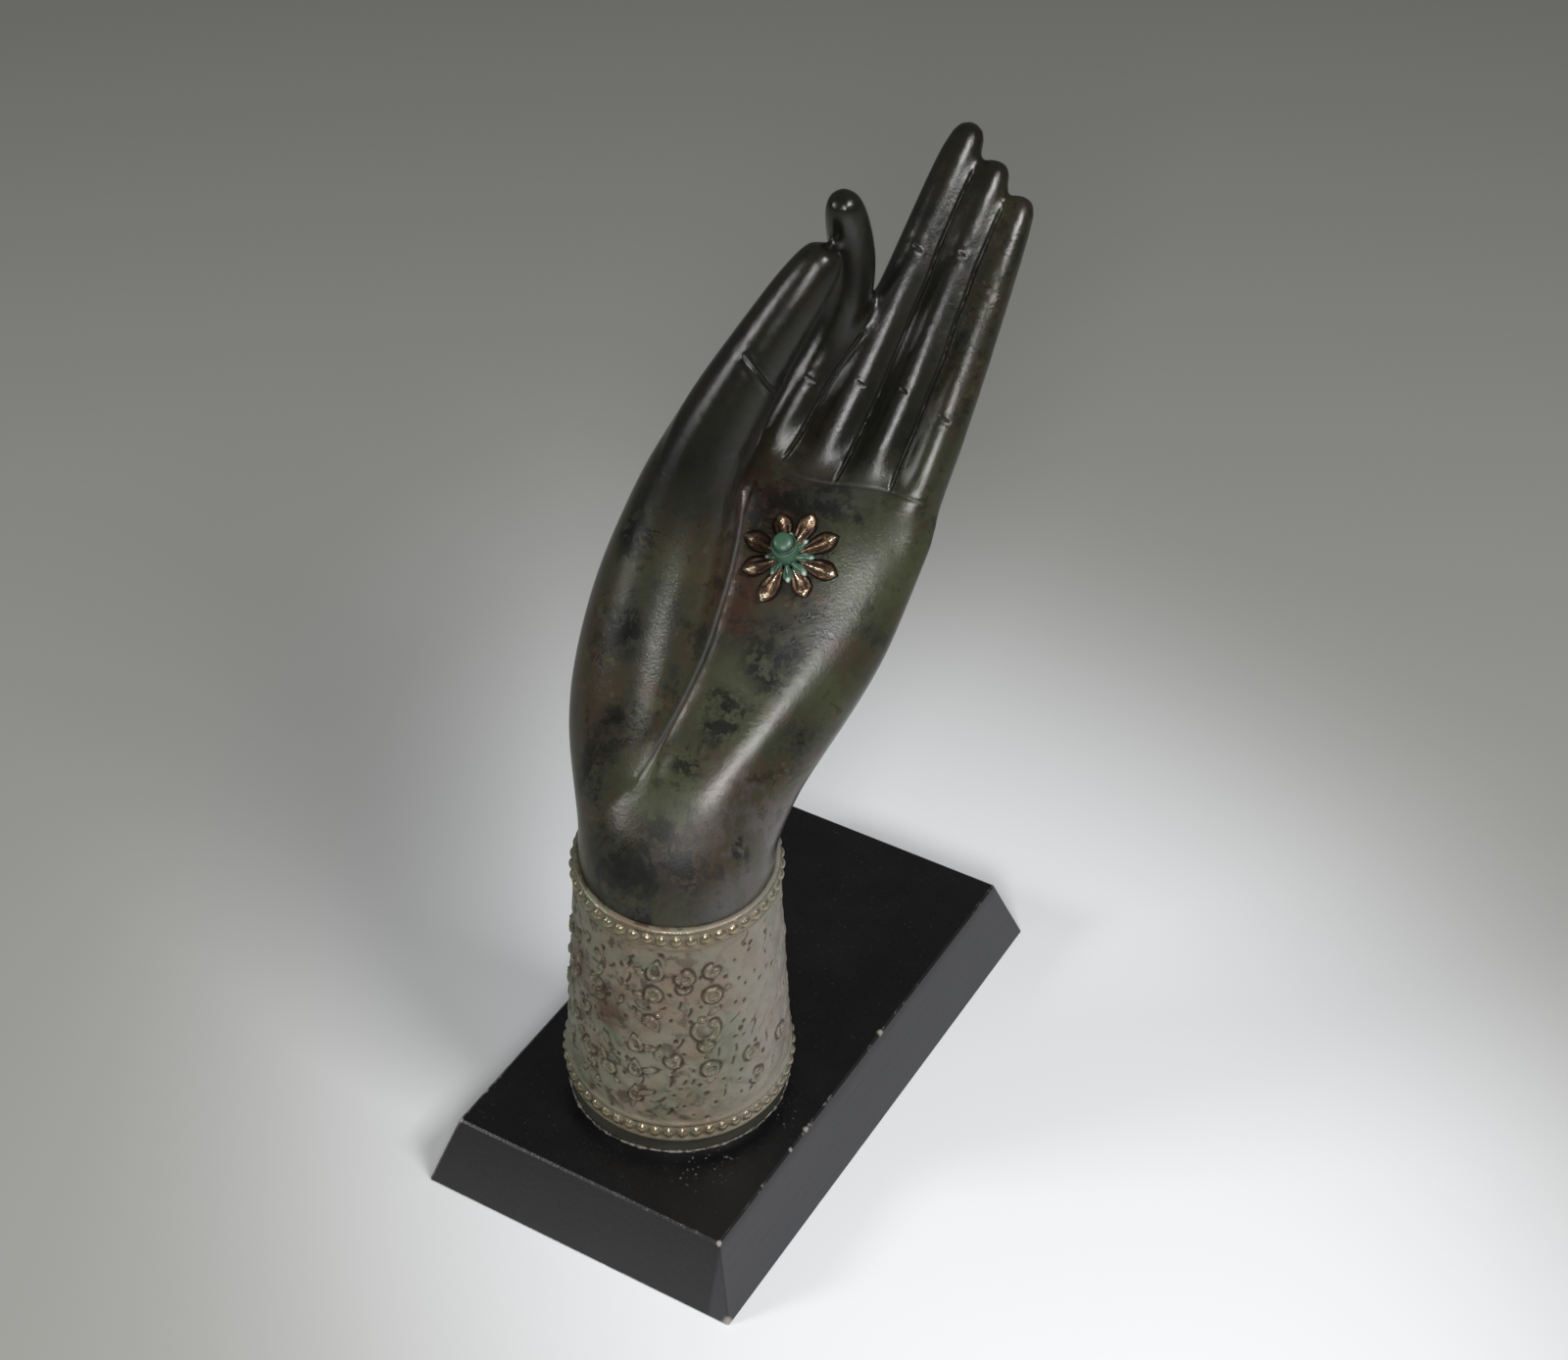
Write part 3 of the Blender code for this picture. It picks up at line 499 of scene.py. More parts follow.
@dataclass(frozen=True)
class Verdigris:
    """The cuff: pale verdigris over pinkish gold, brown in hollows, worn bright on its beads."""

    pale: Colour = (0.178, 0.166, 0.120)
    pink: Colour = (0.182, 0.138, 0.096)
    green: Colour = (0.116, 0.136, 0.088)
    # the paler tone that the cuff takes towards its right side
    smooth: Colour = (0.275, 0.255, 0.222)
    gold: Colour = (0.370, 0.305, 0.190)
    brown: Colour = (0.036, 0.022, 0.012)
    rust: Colour = (0.078, 0.046, 0.024)
    rust_places: tuple[tuple[Place, float, float], ...] = (
        ((-3.0, -77.0, 84.0), 14.0, 1.0), ((-22.0, -68.0, 92.0), 17.0, 0.6),
    )

    def field(self, s: Shader, cloud: Socket, ragged: Socket, side: Socket) -> Socket:
        """Return the field's colour below its wear.

        Args:
            s: the material.
            cloud: the noise that frays the rust.
            ragged: the noise that parts pale verdigris from pinkish gold.
            side: how far right of the middle a place lies, in metres.

        Returns:
            The colour.
        """
        colour = s.mix(s.step(ragged, 0.42, 0.56), self.pink, self.pale)
        patches = s.noise(34.0, 7.0, 0.66, (0.2, 0.1, 0.4))
        colour = s.over(colour, s.step(patches, 0.52, 0.62), 0.8, self.green)
        # the cuff is paler towards its right side and greener towards its left
        colour = s.over(colour, s.step(side, -0.010, 0.022), 0.6, self.smooth)
        colour = s.over(colour, s.step(side, -0.034, -0.056), 0.55, self.green)
        rust = 0.0
        for place, reach, strength in self.rust_places:
            rust = s.most(rust, s.times(s.near(place, reach, cloud, 22.0), strength))
        return s.mix(rust, colour, self.rust)

    def material(self) -> bpy.types.Material:
        """Build the finish.

        Returns:
            The material.
        """
        s = Shader("verdigris_cuff")
        cloud = s.noise(48.0, 8.0, 0.66, distortion=0.8)
        fine = s.noise(420.0, 7.0, 0.72)
        ragged = s.plus(cloud, s.swing(fine, 0.25))
        x, y, _ = s.split()
        side = s.plus(x, s.times(y, 0.5))
        colour = self.field(s, cloud, ragged, side)
        relief = s.attribute("relief")
        proud = s.plus(relief, s.swing(fine, 1.1))
        deep = s.plus(s.attribute("hollow"), s.swing(s.noise(230.0, 6.0, 0.7), 1.6))
        colour = s.over(colour, s.step(deep, 0.10, 0.85), 0.88, self.brown)
        colour = s.over(colour, s.step(proud, 0.65, 1.10), 0.62, self.gold)
        dabs = s.step(s.noise(165.0, 4.0, 0.62, distortion=0.4), 0.51, 0.60)
        left = s.times(s.step(side, 0.012, -0.030), 0.62)
        dabs = s.times(dabs, s.plus(0.14, left))
        colour = s.mix(s.times(dabs, s.step(relief, 0.5, 0.1)), colour, self.brown)
        colour = s.over(colour, s.step(fine, 0.60, 0.70), 0.30, self.brown)
        metal = s.scalar(s.step(proud, 0.5, 0.95), 0.15, 0.75)
        rough = s.scalar(s.step(proud, 0.4, 0.95), 0.46, 0.24)
        normal = s.bump(fine, 0.45, 0.00025)
        normal = s.bump(s.noise(150.0, 5.0, 0.65), 0.5, 0.0006, normal)
        return s.set(Base_Color=colour, Roughness=rough, Metallic=metal, Normal=normal,
                     Specular_IOR_Level=0.5)


@dataclass(frozen=True)
class WornGilt:
    """The rosette's petals: worn gilt with dark antiquing in the hollows, and painted shade on the
    left-hand petals.
    """

    gilt: Colour = (0.165, 0.104, 0.060)
    bright: Colour = (0.640, 0.560, 0.430)
    dark: Colour = (0.032, 0.018, 0.012)
    # painted shade: the petals left of these X values are darkened, as if in the shadow of the
    # crease's edge
    shaded_side: tuple[float, float] = (0.015, 0.001)

    def material(self) -> bpy.types.Material:
        """Build the finish.

        Returns:
            The material.
        """
        s = Shader("worn_gilt")
        fine = s.noise(600.0, 6.0, 0.7)
        patch = s.noise(300.0, 4.0, 0.6)
        lifted = s.plus(s.attribute("relief"), s.swing(fine, 0.7))
        lifted = s.plus(lifted, s.swing(patch, 1.3))
        colour = s.mix(s.step(lifted, 0.30, 0.75), self.dark, self.gilt)
        colour = s.mix(s.step(lifted, 0.85, 1.15), colour, self.bright)
        x, _, _ = s.split()
        # painted shade: the left-hand petals are darkened
        colour = s.over(colour, s.step(x, *self.shaded_side), 0.6, self.dark)
        rough = s.scalar(s.step(lifted, 0.3, 0.9), 0.40, 0.18)
        normal = s.bump(patch, 0.8, 0.0006, s.bump(fine, 0.5, 0.0002))
        return s.set(Base_Color=colour, Roughness=rough, Metallic=0.80, Normal=normal)


@dataclass(frozen=True)
class GreenEnamel:
    """The boss: jade green enamel, worn to pale metal on the edges of its small petals, a pale that
    also serves as their painted highlight.
    """

    green: Colour = (0.042, 0.098, 0.060)
    deep: Colour = (0.012, 0.030, 0.022)
    # partly wear, partly painted highlight: the pale on the small petals' raised parts also stands
    # in for their highlights
    worn: Colour = (0.430, 0.480, 0.420)

    def material(self) -> bpy.types.Material:
        """Build the finish.

        Returns:
            The material.
        """
        s = Shader("green_enamel")
        fine = s.noise(500.0, 5.0, 0.65)
        hollow = s.step(s.attribute("hollow"), 0.1, 0.8)
        colour = s.over(self.green, hollow, 0.9, self.deep)
        lifted = s.plus(s.attribute("relief"), s.swing(fine, 0.6))
        # pale wear on raised parts, which also acts as a painted highlight on the small petals
        colour = s.mix(s.step(lifted, 0.75, 1.05), colour, self.worn)
        return s.set(Base_Color=colour, Roughness=0.36, Metallic=0.05,
                     Normal=s.bump(fine, 0.3, 0.00015))


@dataclass(frozen=True)
class BlackPaint:
    """Satin black paint on the plinth, chipped pale along its edges and scuffed by the cuff, with a
    painted reflection lightening its right-hand slope.
    """

    top_half_width: float = 0.0500
    top_half_length: float = 0.09435
    height: float = 0.0265
    overhang: float = 0.0086
    black: Colour = (0.0030, 0.0030, 0.0036)
    worn: Colour = (0.0060, 0.0060, 0.0070)
    # painted reflection: the right-hand (+X) slope is painted a lighter blue-grey, as if it
    # mirrored the bright surroundings
    side: Colour = (0.0240, 0.0240, 0.0290)
    chip: Colour = (0.300, 0.275, 0.235)
    dust: Colour = (0.200, 0.195, 0.180)
    rubbed: Colour = (0.060, 0.058, 0.056)
    painted_sheen_fade: float = 0.0015
    top_fade: tuple[float, float] = (0.0261, 0.0264)
    least_dust: float = 0.10
    scuffs: tuple[tuple[Place, float, float, float], ...] = (
        ((26.0, -67.0, 26.5), 16.0, 14.0, 1.0), ((37.0, -38.0, 26.5), 14.0, 12.0, 0.8),
    )
    nicks: tuple[tuple[Place, float], ...] = (
        ((50.0, 10.0, 26.5), 1.6), ((50.0, -40.0, 26.5), 1.5), ((50.0, -50.0, 26.5), 1.0),
        ((58.0, -102.5, 1.0), 2.6), ((50.0, -94.0, 26.0), 1.2), ((-50.0, -94.0, 26.0), 1.4),
    )

    def edge_distance(self, s: Shader) -> Socket:
        """Measure how far a place is from the nearest edge of the board.

        Args:
            s: the material.

        Returns:
            The distance, in metres.
        """
        x, y, z = s.split()
        slant = self.overhang / self.height
        square = 1.0 / math.hypot(1.0, slant)
        fall = s.less(self.height, z)
        faces = [fall, z]
        for along, half in ((x, self.top_half_width), (y, self.top_half_length)):
            reach = s.plus(s.times(fall, slant), half)
            inside = s.less(reach, s.math("ABSOLUTE", along))
            faces.append(s.times(inside, square))
        away = [s.math("ABSOLUTE", face) for face in faces]
        nearest = None
        for first, second in combinations(range(len(faces)), 2):
            if (first, second) != (0, 1):  # the top and the underside meet nowhere
                pair = s.plus(away[first], away[second])
                nearest = pair if nearest is None else s.math("MINIMUM", nearest, pair)
        return nearest

    def chips(self, s: Shader, frayed: Socket, fine: Socket) -> Socket:
        """Return where the paint is chipped off the edges.

        Args:
            s: the material.
            frayed: the distance from the nearest edge, frayed.
            fine: the noise that frays the nicks at known places.

        Returns:
            The chips' cover, from 0 to 1.
        """
        broken = s.step(s.noise(90.0, 6.0, 0.72, (0.4, 0.3, 0.2)), 0.52, 0.60)
        chips = s.times(s.times(s.step(frayed, 0.0007, 0.0001), broken), 0.9)
        for place, reach in self.nicks:
            nick = s.near(place, reach, fine, reach * 1.5)
            chips = s.most(chips, s.times(nick, s.step(frayed, 0.0022, 0.0012)))
        return chips

    def dusty(self, s: Shader, cloud: Socket, height: Socket) -> Socket:
        """Return where pale dust lies on the top.

        Args:
            s: the material.
            cloud: the noise that frays the scuffs.
            height: the Z of a place.

        Returns:
            The dust's cover, from 0 to 1.
        """
        scuff = self.least_dust
        for place, reach, fray, strength in self.scuffs:
            scuff = s.most(scuff, s.times(s.near(place, reach, cloud, fray), strength))
        specks = s.step(s.noise(800.0, 3.0, 0.6), 0.63, 0.70)
        return s.times(s.times(specks, scuff), s.step(height, *self.top_fade))

    def material(self) -> bpy.types.Material:
        """Build the finish.

        Returns:
            The material.
        """
        s = Shader("black_paint")
        edge = self.edge_distance(s)
        fine = s.noise(260.0, 7.0, 0.7)
        cloud = s.noise(40.0, 4.0, 0.6)
        long_grain = s.noise(30.0, 5.0, 0.6, stretch=(14.0, 1.0, 14.0))
        chips = self.chips(s, s.plus(edge, s.swing(fine, -0.0032)), fine)
        x, _, z = s.split()
        # painted reflection: the +X slope takes the lighter blue-grey colour
        side = s.step(x, self.top_half_width, self.top_half_width + self.painted_sheen_fade)
        colour = s.mix(s.step(cloud, 0.3, 0.8), self.black, self.worn)
        colour = s.mix(side, colour, self.side)
        colour = s.over(colour, s.step(edge, 0.0009, 0.0002), 0.25, self.rubbed)
        colour = s.mix(chips, colour, self.chip)
        colour = s.over(colour, self.dusty(s, cloud, z), 0.8, self.dust)
        rough = s.plus(0.27, s.times(cloud, 0.12))
        rough = s.plus(rough, s.times(chips, 0.3))
        normal = s.bump(long_grain, 0.18, 0.0006)
        normal = s.bump(fine, 0.22, 0.0002, normal)
        normal = s.bump(chips, 0.5, -0.0003, normal)
        return s.set(Base_Color=colour, Roughness=rough, Normal=normal, Specular_IOR_Level=0.55)


@dataclass(frozen=True)
class PlainSteel:
    """Zinc-plated steel of the screw and washer under the plinth."""

    name: str
    colour: Colour = (0.50, 0.50, 0.52)
    shade: float = 0.8

    def material(self) -> bpy.types.Material:
        """Build the finish.

        Returns:
            The material.
        """
        s = Shader(self.name)
        fine = s.noise(700.0, 5.0, 0.6)
        rough = s.plus(0.28, s.times(fine, 0.2))
        darker = tuple(value * self.shade for value in self.colour)
        colour = s.mix(s.step(fine, 0.3, 0.8), self.colour, darker)
        return s.set(Base_Color=colour, Roughness=rough, Metallic=1.0,
                     Normal=s.bump(fine, 0.1, 0.0001))


@dataclass(frozen=True)
class OldGlue:
    """The pale, dirty glue line round the foot."""

    dirt: Colour = (0.030, 0.028, 0.024)
    glue: Colour = (0.230, 0.215, 0.180)

    def material(self) -> bpy.types.Material:
        """Build the finish.

        Returns:
            The material.
        """
        s = Shader("old_glue")
        fine = s.noise(500.0, 5.0, 0.7)
        colour = s.mix(s.step(fine, 0.40, 0.60), self.dirt, self.glue)
        return s.set(Base_Color=colour, Roughness=0.6, Normal=s.bump(fine, 0.6, 0.0003))


def stand(name: str, data: bpy.types.ID) -> bpy.types.Object:
    """Put a mesh, a lamp or a camera in the scene.

    Args:
        name: the object's name.
        data: what it holds.

    Returns:
        The object, at the origin.
    """
    made = bpy.data.objects.new(name, data)
    bpy.context.scene.collection.objects.link(made)
    return made


def link_piece(name: str, bm: bmesh.types.BMesh, material: bpy.types.Material) -> bpy.types.Object:
    """Turn a bmesh into a shown piece that rides on the figurine.

    Args:
        name: the piece's name.
        bm: its finished mesh, which is freed.
        material: its finish.

    Returns:
        The new object.
    """
    mesh = bpy.data.meshes.new(name)
    bm.to_mesh(mesh)
    bm.free()
    mesh.materials.append(material)
    mesh.shade_smooth()
    piece = stand(name, mesh)
    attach(piece, BODY)
    return piece


def dress(piece: bpy.types.Object, material: bpy.types.Material) -> None:
    """Give a CAD node a finish."""
    piece.data.materials.clear()
    piece.data.materials.append(material)


def coordinates(mesh: bpy.types.Mesh) -> np.ndarray:
    """Read where a mesh's vertices are.

    Args:
        mesh: the mesh.

    Returns:
        Rows of X, Y and Z.
    """
    flat = np.empty(len(mesh.vertices) * 3, np.float64)
    mesh.vertices.foreach_get("co", flat)
    return flat.reshape(-1, 3)


def place_vertices(mesh: bpy.types.Mesh, places: np.ndarray) -> None:
    """Move a mesh's vertices to new rows of X, Y and Z."""
    mesh.vertices.foreach_set("co", places.ravel())
    mesh.update()


def vertex_normals(mesh: bpy.types.Mesh) -> np.ndarray:
    """Read a mesh's vertex normals.

    Args:
        mesh: the mesh.

    Returns:
        Rows of X, Y and Z.
    """
    flat = np.empty(len(mesh.vertices) * 3, np.float32)
    mesh.vertex_normals.foreach_get("vector", flat)
    return flat.reshape(-1, 3).astype(np.float64)


def surface_tree(mesh: bpy.types.Mesh) -> BVHTree:
    """Make a tree that finds where a ray meets a mesh.

    Args:
        mesh: the mesh.

    Returns:
        The tree.
    """
    bm = bmesh.new()
    bm.from_mesh(mesh)
    tree = BVHTree.FromBMesh(bm)
    bm.free()
    return tree


def store(mesh: bpy.types.Mesh, name: str, values: np.ndarray) -> None:
    """Keep one number for each vertex under a name that the finish reads."""
    layer = mesh.attributes.new(name, "FLOAT", "POINT")
    layer.data.foreach_set("value", np.ascontiguousarray(values, np.float32))


def applied(piece: bpy.types.Object) -> bpy.types.Mesh:
    """Return a new mesh with an object's modifiers applied."""
    depsgraph = bpy.context.evaluated_depsgraph_get()
    return bpy.data.meshes.new_from_object(piece.evaluated_get(depsgraph))


@dataclass(frozen=True)
class Groove:
    """A carved line on the palm side, in millimetres of the hand's across and along directions.

    The lip is a raised edge on the little finger's side. A line that settles is moved sideways to
    the lowest place near it.
    """

    points: Line
    depth: float
    width: float
    lip: float = 0.0
    lip_width: float = 0.4
    fade: float = 1.5
    settle: float = 0.0
    out_from: float = -100.0
    out_to: float = 100.0
    darken: float = 0.7

    def reach(self) -> float:
        """Return how far from the line the carving acts."""
        return max(self.width * 3.0, self.lip_width * 4.0) + 0.4

    def measure(self, across: np.ndarray, along: np.ndarray) -> tuple[np.ndarray, np.ndarray]:
        """Return each place's signed distance from the line and how strongly the line acts there.

        Args:
            across: the places across the palm, in millimetres.
            along: the places along the fingers, in millimetres.

        Returns:
            The distances, positive on the little finger's side, and a strength from 0 to 1 that
            fades towards the ends.
        """
        best = np.full(len(across), 1e9)
        signed = np.full(len(across), 1e9)
        station = np.zeros(len(across))
        start = 0.0
        for (x0, y0), (x1, y1) in zip(self.points, self.points[1:]):
            dx, dy = x1 - x0, y1 - y0
            length = math.hypot(dx, dy)
            share = np.clip(((across - x0) * dx + (along - y0) * dy) / length**2, 0.0, 1.0)
            off_x = across - (x0 + share * dx)
            off_y = along - (y0 + share * dy)
            distance = np.hypot(off_x, off_y)
            closer = distance < best
            best = np.where(closer, distance, best)
            side = np.sign(off_x * dy - off_y * dx)
            signed = np.where(closer, distance * side, signed)
            station = np.where(closer, start + share * length, station)
            start += length
        ends = np.clip(np.minimum(station, start - station) / self.fade, 0.0, 1.0)
        strength = ends * ends * (3.0 - 2.0 * ends)
        return signed, strength

    def level(self, out: np.ndarray) -> np.ndarray:
        """Return whether each height out of the palm is one that the line is carved at."""
        return (out > self.out_from) & (out < self.out_to)

    def press(self, signed: np.ndarray) -> np.ndarray:
        """Return how deep the surface is pressed in.

        Args:
            signed: the distances from the line, in millimetres.

        Returns:
            The depths, in millimetres.
        """
        depth = self.depth * np.exp(-0.5 * (signed / self.width) ** 2)
        if self.lip > 0.0:
            edge = self.width * 1.3 + self.lip_width
            depth -= self.lip * np.exp(-0.5 * ((signed - edge) / self.lip_width) ** 2)
        return depth


@dataclass(frozen=True)
class Swell:
    """A soft rise on the palm side, in millimetres of the hand's across and along directions."""

    across: float
    along: float
    half_width: float
    half_length: float
    height: float
    turn: float = 0.0

    def rise(self, across: np.ndarray, along: np.ndarray) -> np.ndarray:
        """Return how far the surface is raised.

        Args:
            across: the places across the palm, in millimetres.
            along: the places along the fingers, in millimetres.

        Returns:
            The rises, in millimetres.
        """
        c, s = math.cos(self.turn), math.sin(self.turn)
        u = ((across - self.across) * c + (along - self.along) * s) / self.half_width
        v = ((along - self.along) * c - (across - self.across) * s) / self.half_length
        return self.height * np.exp(-0.5 * (u**2 + v**2))


def curved(points: Line) -> Line:
    """Cut a line's corners a few times, so that it runs as a curve.

    Args:
        points: the line as read from the photograph.

    Returns:
        The finer line between the same ends.
    """
    for _ in range(CORNER_CUTS):
        inner = []
        for (x0, y0), (x1, y1) in zip(points, points[1:]):
            inner += [(x0 + (x1 - x0) * share, y0 + (y1 - y0) * share) for share in (0.25, 0.75)]
        points = (points[0], *inner, points[-1])
    return points


def palm_creases() -> tuple[Groove, ...]:
    """List the creases of the palm and the thumb.

    Returns:
        The long crease of the thumb's mound, the thumb's joint, and the foot of the fingers.
    """
    return (
        Groove(curved(((-10.8, 14.0), (-10.2, 22.0), (-9.0, 34.0), (-8.2, 47.0), (-8.4, 62.0),
                       (-9.8, 71.0), (-11.2, 80.0), (-13.0, 90.0), (-15.2, 98.0), (-17.6, 106.0),
                       (-18.0, 116.0))), 0.25, 0.55,
               lip=0.12, lip_width=0.5, fade=14.0, darken=0.85),
        Groove(((-25.5, 147.6), (-19.0, 143.8), (-12.5, 138.4)), 0.8, 0.40,
               lip=0.25, lip_width=0.45, out_from=30.0),
        Groove(((-15.0, 119.6), (-9.0, 118.7), (-4.0, 118.9), (4.0, 120.8), (11.0, 123.2),
                (18.0, 125.2), (24.0, 126.0), (35.0, 127.0)), 0.14, 0.36, fade=5.0, darken=0.35),
    )


def finger_grooves() -> tuple[Groove, ...]:
    """List the grooves between the joined fingers, with the height that each ends below.

    Returns:
        The grooves, from the index finger's side.
    """
    lines: tuple[tuple[Line, float], ...] = (
        (((-13.2, 121.0), (-11.3, 141.0), (-7.4, 168.0)), 14.0),
        (((4.8, 121.0), (6.4, 154.0), (6.0, 184.0), (3.9, 224.0)), 100.0),
        (((19.8, 125.0), (20.2, 152.0), (18.8, 168.0), (17.3, 188.0), (15.9, 217.0)), 100.0),
    )
    return tuple(Groove(points, 0.9, 0.34, lip=0.22, lip_width=0.34, settle=3.0, fade=4.0,
                        out_to=out_to) for points, out_to in lines)


def joint_nicks() -> tuple[Groove, ...]:
    """List the short creases at the finger joints.

    Returns:
        The creases.
    """
    plain = (
        ((-2.2, 195.6), (2.2, 194.9)), ((-1.5, 152.2), (2.6, 151.4)),
        ((11.4, 199.0), (15.0, 198.4)), ((11.6, 155.4), (15.3, 154.6)),
        ((21.6, 193.8), (25.2, 192.9)),
    )
    return tuple(Groove(points, 0.45, 0.26) for points in plain) + (
        Groove(((25.2, 152.9), (30.4, 151.4)), 0.50, 0.28, lip=0.12),
        Groove(((-16.4, 147.5), (-12.2, 146.7)), 0.45, 0.28, out_to=14.0),
    )


@dataclass
class CastHand:
    """The bronze casting: the CAD hand made smooth, then carved with its creases and grooves."""

    directions: HandDirections
    sleeve: Sleeve
    voxel: float = 0.00115
    cut_height: float = 0.0600
    dense_levels: int = 2
    soften: int = 8
    soften_share: float = 0.5
    divisions: int = 2
    base_along: float = 120.0
    base_reach: float = 10.5
    base_passes: int = 40
    line_passes: int = 14
    line_reach: float = 3.6
    line_fine: float = 1.6
    mouth_top: float = 0.152
    mouth_fade: float = 0.034
    mouth_growth: float = 0.0009
    stub_overlap: float = 0.0040
    stub_segments: int = 96
    sharp_angle: float = math.radians(50.0)
    settle_tries: int = 12
    settle_pitch: float = 2.5
    settle_cost: float = 0.00005
    settle_passes: int = 6
    feel_from: float = 40.0
    corner: tuple[Place, ...] = (
        (10.0, -10.5, 0.0), (20.0, -10.0, -0.5), (34.0, -7.0, -1.6), (50.0, -6.0, -2.2),
        (65.0, -7.0, -2.0), (80.0, -8.5, -2.7), (90.0, -9.8, -3.2), (98.0, -12.0, -3.1),
        (106.0, -14.2, -3.4), (114.0, -14.5, -3.0), (126.0, -14.5, 0.0),
    )
    corner_reach: float = 5.0
    corner_below: float = 30.0
    corner_fade: float = 12.0
    base_below: float = 0.034
    swells: tuple[Swell, ...] = (
        Swell(-6.6, 24.5, 1.9, 5.0, 0.6),
        Swell(17.0, 45.0, 5.0, 22.0, 0.9, math.radians(-14.0)),
    )

    def refined(self, node: bpy.types.Object) -> bpy.types.Object:
        """Return a smooth, dense copy of the CAD casting in the hand's own directions.

        Args:
            node: the CAD hand.

        Returns:
            An object that stands at the origin in the hand's directions, for carving only.
        """
        bm = bmesh.new()
        bm.from_mesh(node.data)
        bmesh.ops.remove_doubles(bm, verts=bm.verts, dist=MERGE_DISTANCE)
        geometry = list(bm.verts) + list(bm.edges) + list(bm.faces)
        cut = bmesh.ops.bisect_plane(bm, geom=geometry, plane_co=(0.0, 0.0, self.cut_height),
                                     plane_no=UP, clear_inner=True)
        rim = [item for item in cut["geom_cut"] if isinstance(item, bmesh.types.BMEdge)]
        bmesh.ops.holes_fill(bm, edges=rim, sides=0)
        bm.transform(self.directions.matrix().inverted())
        bmesh.ops.recalc_face_normals(bm, faces=bm.faces)
        mesh = bpy.data.meshes.new("casting_form")
        bm.to_mesh(mesh)
        bm.free()
        form = stand("casting_form", mesh)
        dense = form.modifiers.new("dense", "SUBSURF")
        dense.levels = dense.render_levels = self.dense_levels
        skin = form.modifiers.new("skin", "REMESH")
        skin.mode = "VOXEL"
        skin.voxel_size = self.voxel
        smooth = form.modifiers.new("soft", "SMOOTH")
        smooth.factor = self.soften_share
        smooth.iterations = self.soften
        form.data = applied(form)
        form.modifiers.clear()
        return form

    def settled(self, groove: Groove, tree: BVHTree) -> Groove:
        """Move a groove sideways into the lowest place near each of its points.

        Args:
            groove: the line as read from the photograph.
            tree: the form, in the hand's directions.

        Returns:
            The same groove on points every few millimetres along the valley.
        """
        stations = []
        for (x0, y0), (x1, y1) in zip(groove.points, groove.points[1:]):
            steps = max(2, round(math.hypot(x1 - x0, y1 - y0) / self.settle_pitch))
            stations += [(x0 + (x1 - x0) * i / steps, y0 + (y1 - y0) * i / steps)
                         for i in range(steps)]
        stations.append(groove.points[-1])
        lowest = []
        for across, along in stations:
            tries = []
            for step in range(-self.settle_tries, self.settle_tries + 1):
                shift = groove.settle * step / self.settle_tries
                start = Vector((across + shift, along, min(groove.out_to, self.feel_from)))
                hit = tree.ray_cast(start * MILLIMETRE, -UP)[0]
                if hit is not None:
                    tries.append((hit.z + abs(shift) * self.settle_cost, across + shift))
            lowest.append(min(tries)[1] if tries else across)
        smooth = np.array(lowest)
        for _ in range(self.settle_passes):
            inner = (smooth[:-2] + 2.0 * smooth[1:-1] + smooth[2:]) / 4.0
            smooth = np.concatenate([smooth[:1], inner, smooth[-1:]])
        points = tuple((float(x), y) for x, (_, y) in zip(smooth, stations))
        return replace(groove, points=points)

    def lines(self, form: bpy.types.Object) -> list[Groove]:
        """Return every carved line, with the finger grooves settled in their valleys.

        Args:
            form: the form, in the hand's directions.

        Returns:
            The lines.
        """
        tree = surface_tree(form.data)
        found = [self.settled(groove, tree) for groove in finger_grooves()]
        return list(palm_creases()) + found + list(joint_nicks())

    def relax(self, mesh: bpy.types.Mesh, share: np.ndarray, passes: int) -> None:
        """Move each vertex towards the middle of its neighbours.

        Args:
            mesh: the form.
            share: how far each vertex goes in one pass, from 0 to 1.
            passes: how often it is done.
        """
        places = coordinates(mesh)
        pairs = np.empty(len(mesh.edges) * 2, np.int64)
        mesh.edges.foreach_get("vertices", pairs)
        first, second = pairs[0::2], pairs[1::2]
        count = len(places)
        degree = np.bincount(first, minlength=count) + np.bincount(second, minlength=count)
        for _ in range(passes):
            total = np.zeros_like(places)
            for axis in range(3):
                total[:, axis] = (np.bincount(first, places[second, axis], count)
                                  + np.bincount(second, places[first, axis], count))
            places += (total / degree[:, None] - places) * share[:, None]
        place_vertices(mesh, places)

    def move_corner(self, mesh: bpy.types.Mesh) -> None:
        """Move the corner between the thumb's mound and the palm towards the thumb.

        Args:
            mesh: the form.
        """
        places = coordinates(mesh)
        in_mm = places / MILLIMETRE
        along, middle, shift = (np.array(row) for row in zip(*self.corner))
        off = in_mm[:, 0] - np.interp(in_mm[:, 1], along, middle)
        amount = np.interp(in_mm[:, 1], along, shift, 0.0, 0.0)
        low = np.clip((self.corner_below - in_mm[:, 2]) / self.corner_fade, 0.0, 1.0)
        low *= in_mm[:, 2] > 0.0
        amount *= np.exp(-0.5 * (off / self.corner_reach) ** 2) * low
        places[:, 0] += amount * MILLIMETRE
        place_vertices(mesh, places)

    def base_share(self, mesh: bpy.types.Mesh) -> np.ndarray:
        """Measure how near each vertex is to the palm side of the finger bases.

        Args:
            mesh: the form.

        Returns:
            A share for each vertex, from 0 to 1.
        """
        places = coordinates(mesh)
        away = (places[:, 1] / MILLIMETRE - self.base_along) / self.base_reach
        front = np.clip(vertex_normals(mesh)[:, 2] * 2.0, 0.0, 1.0)
        return np.exp(-away**2) * front * (places[:, 2] < self.base_below)

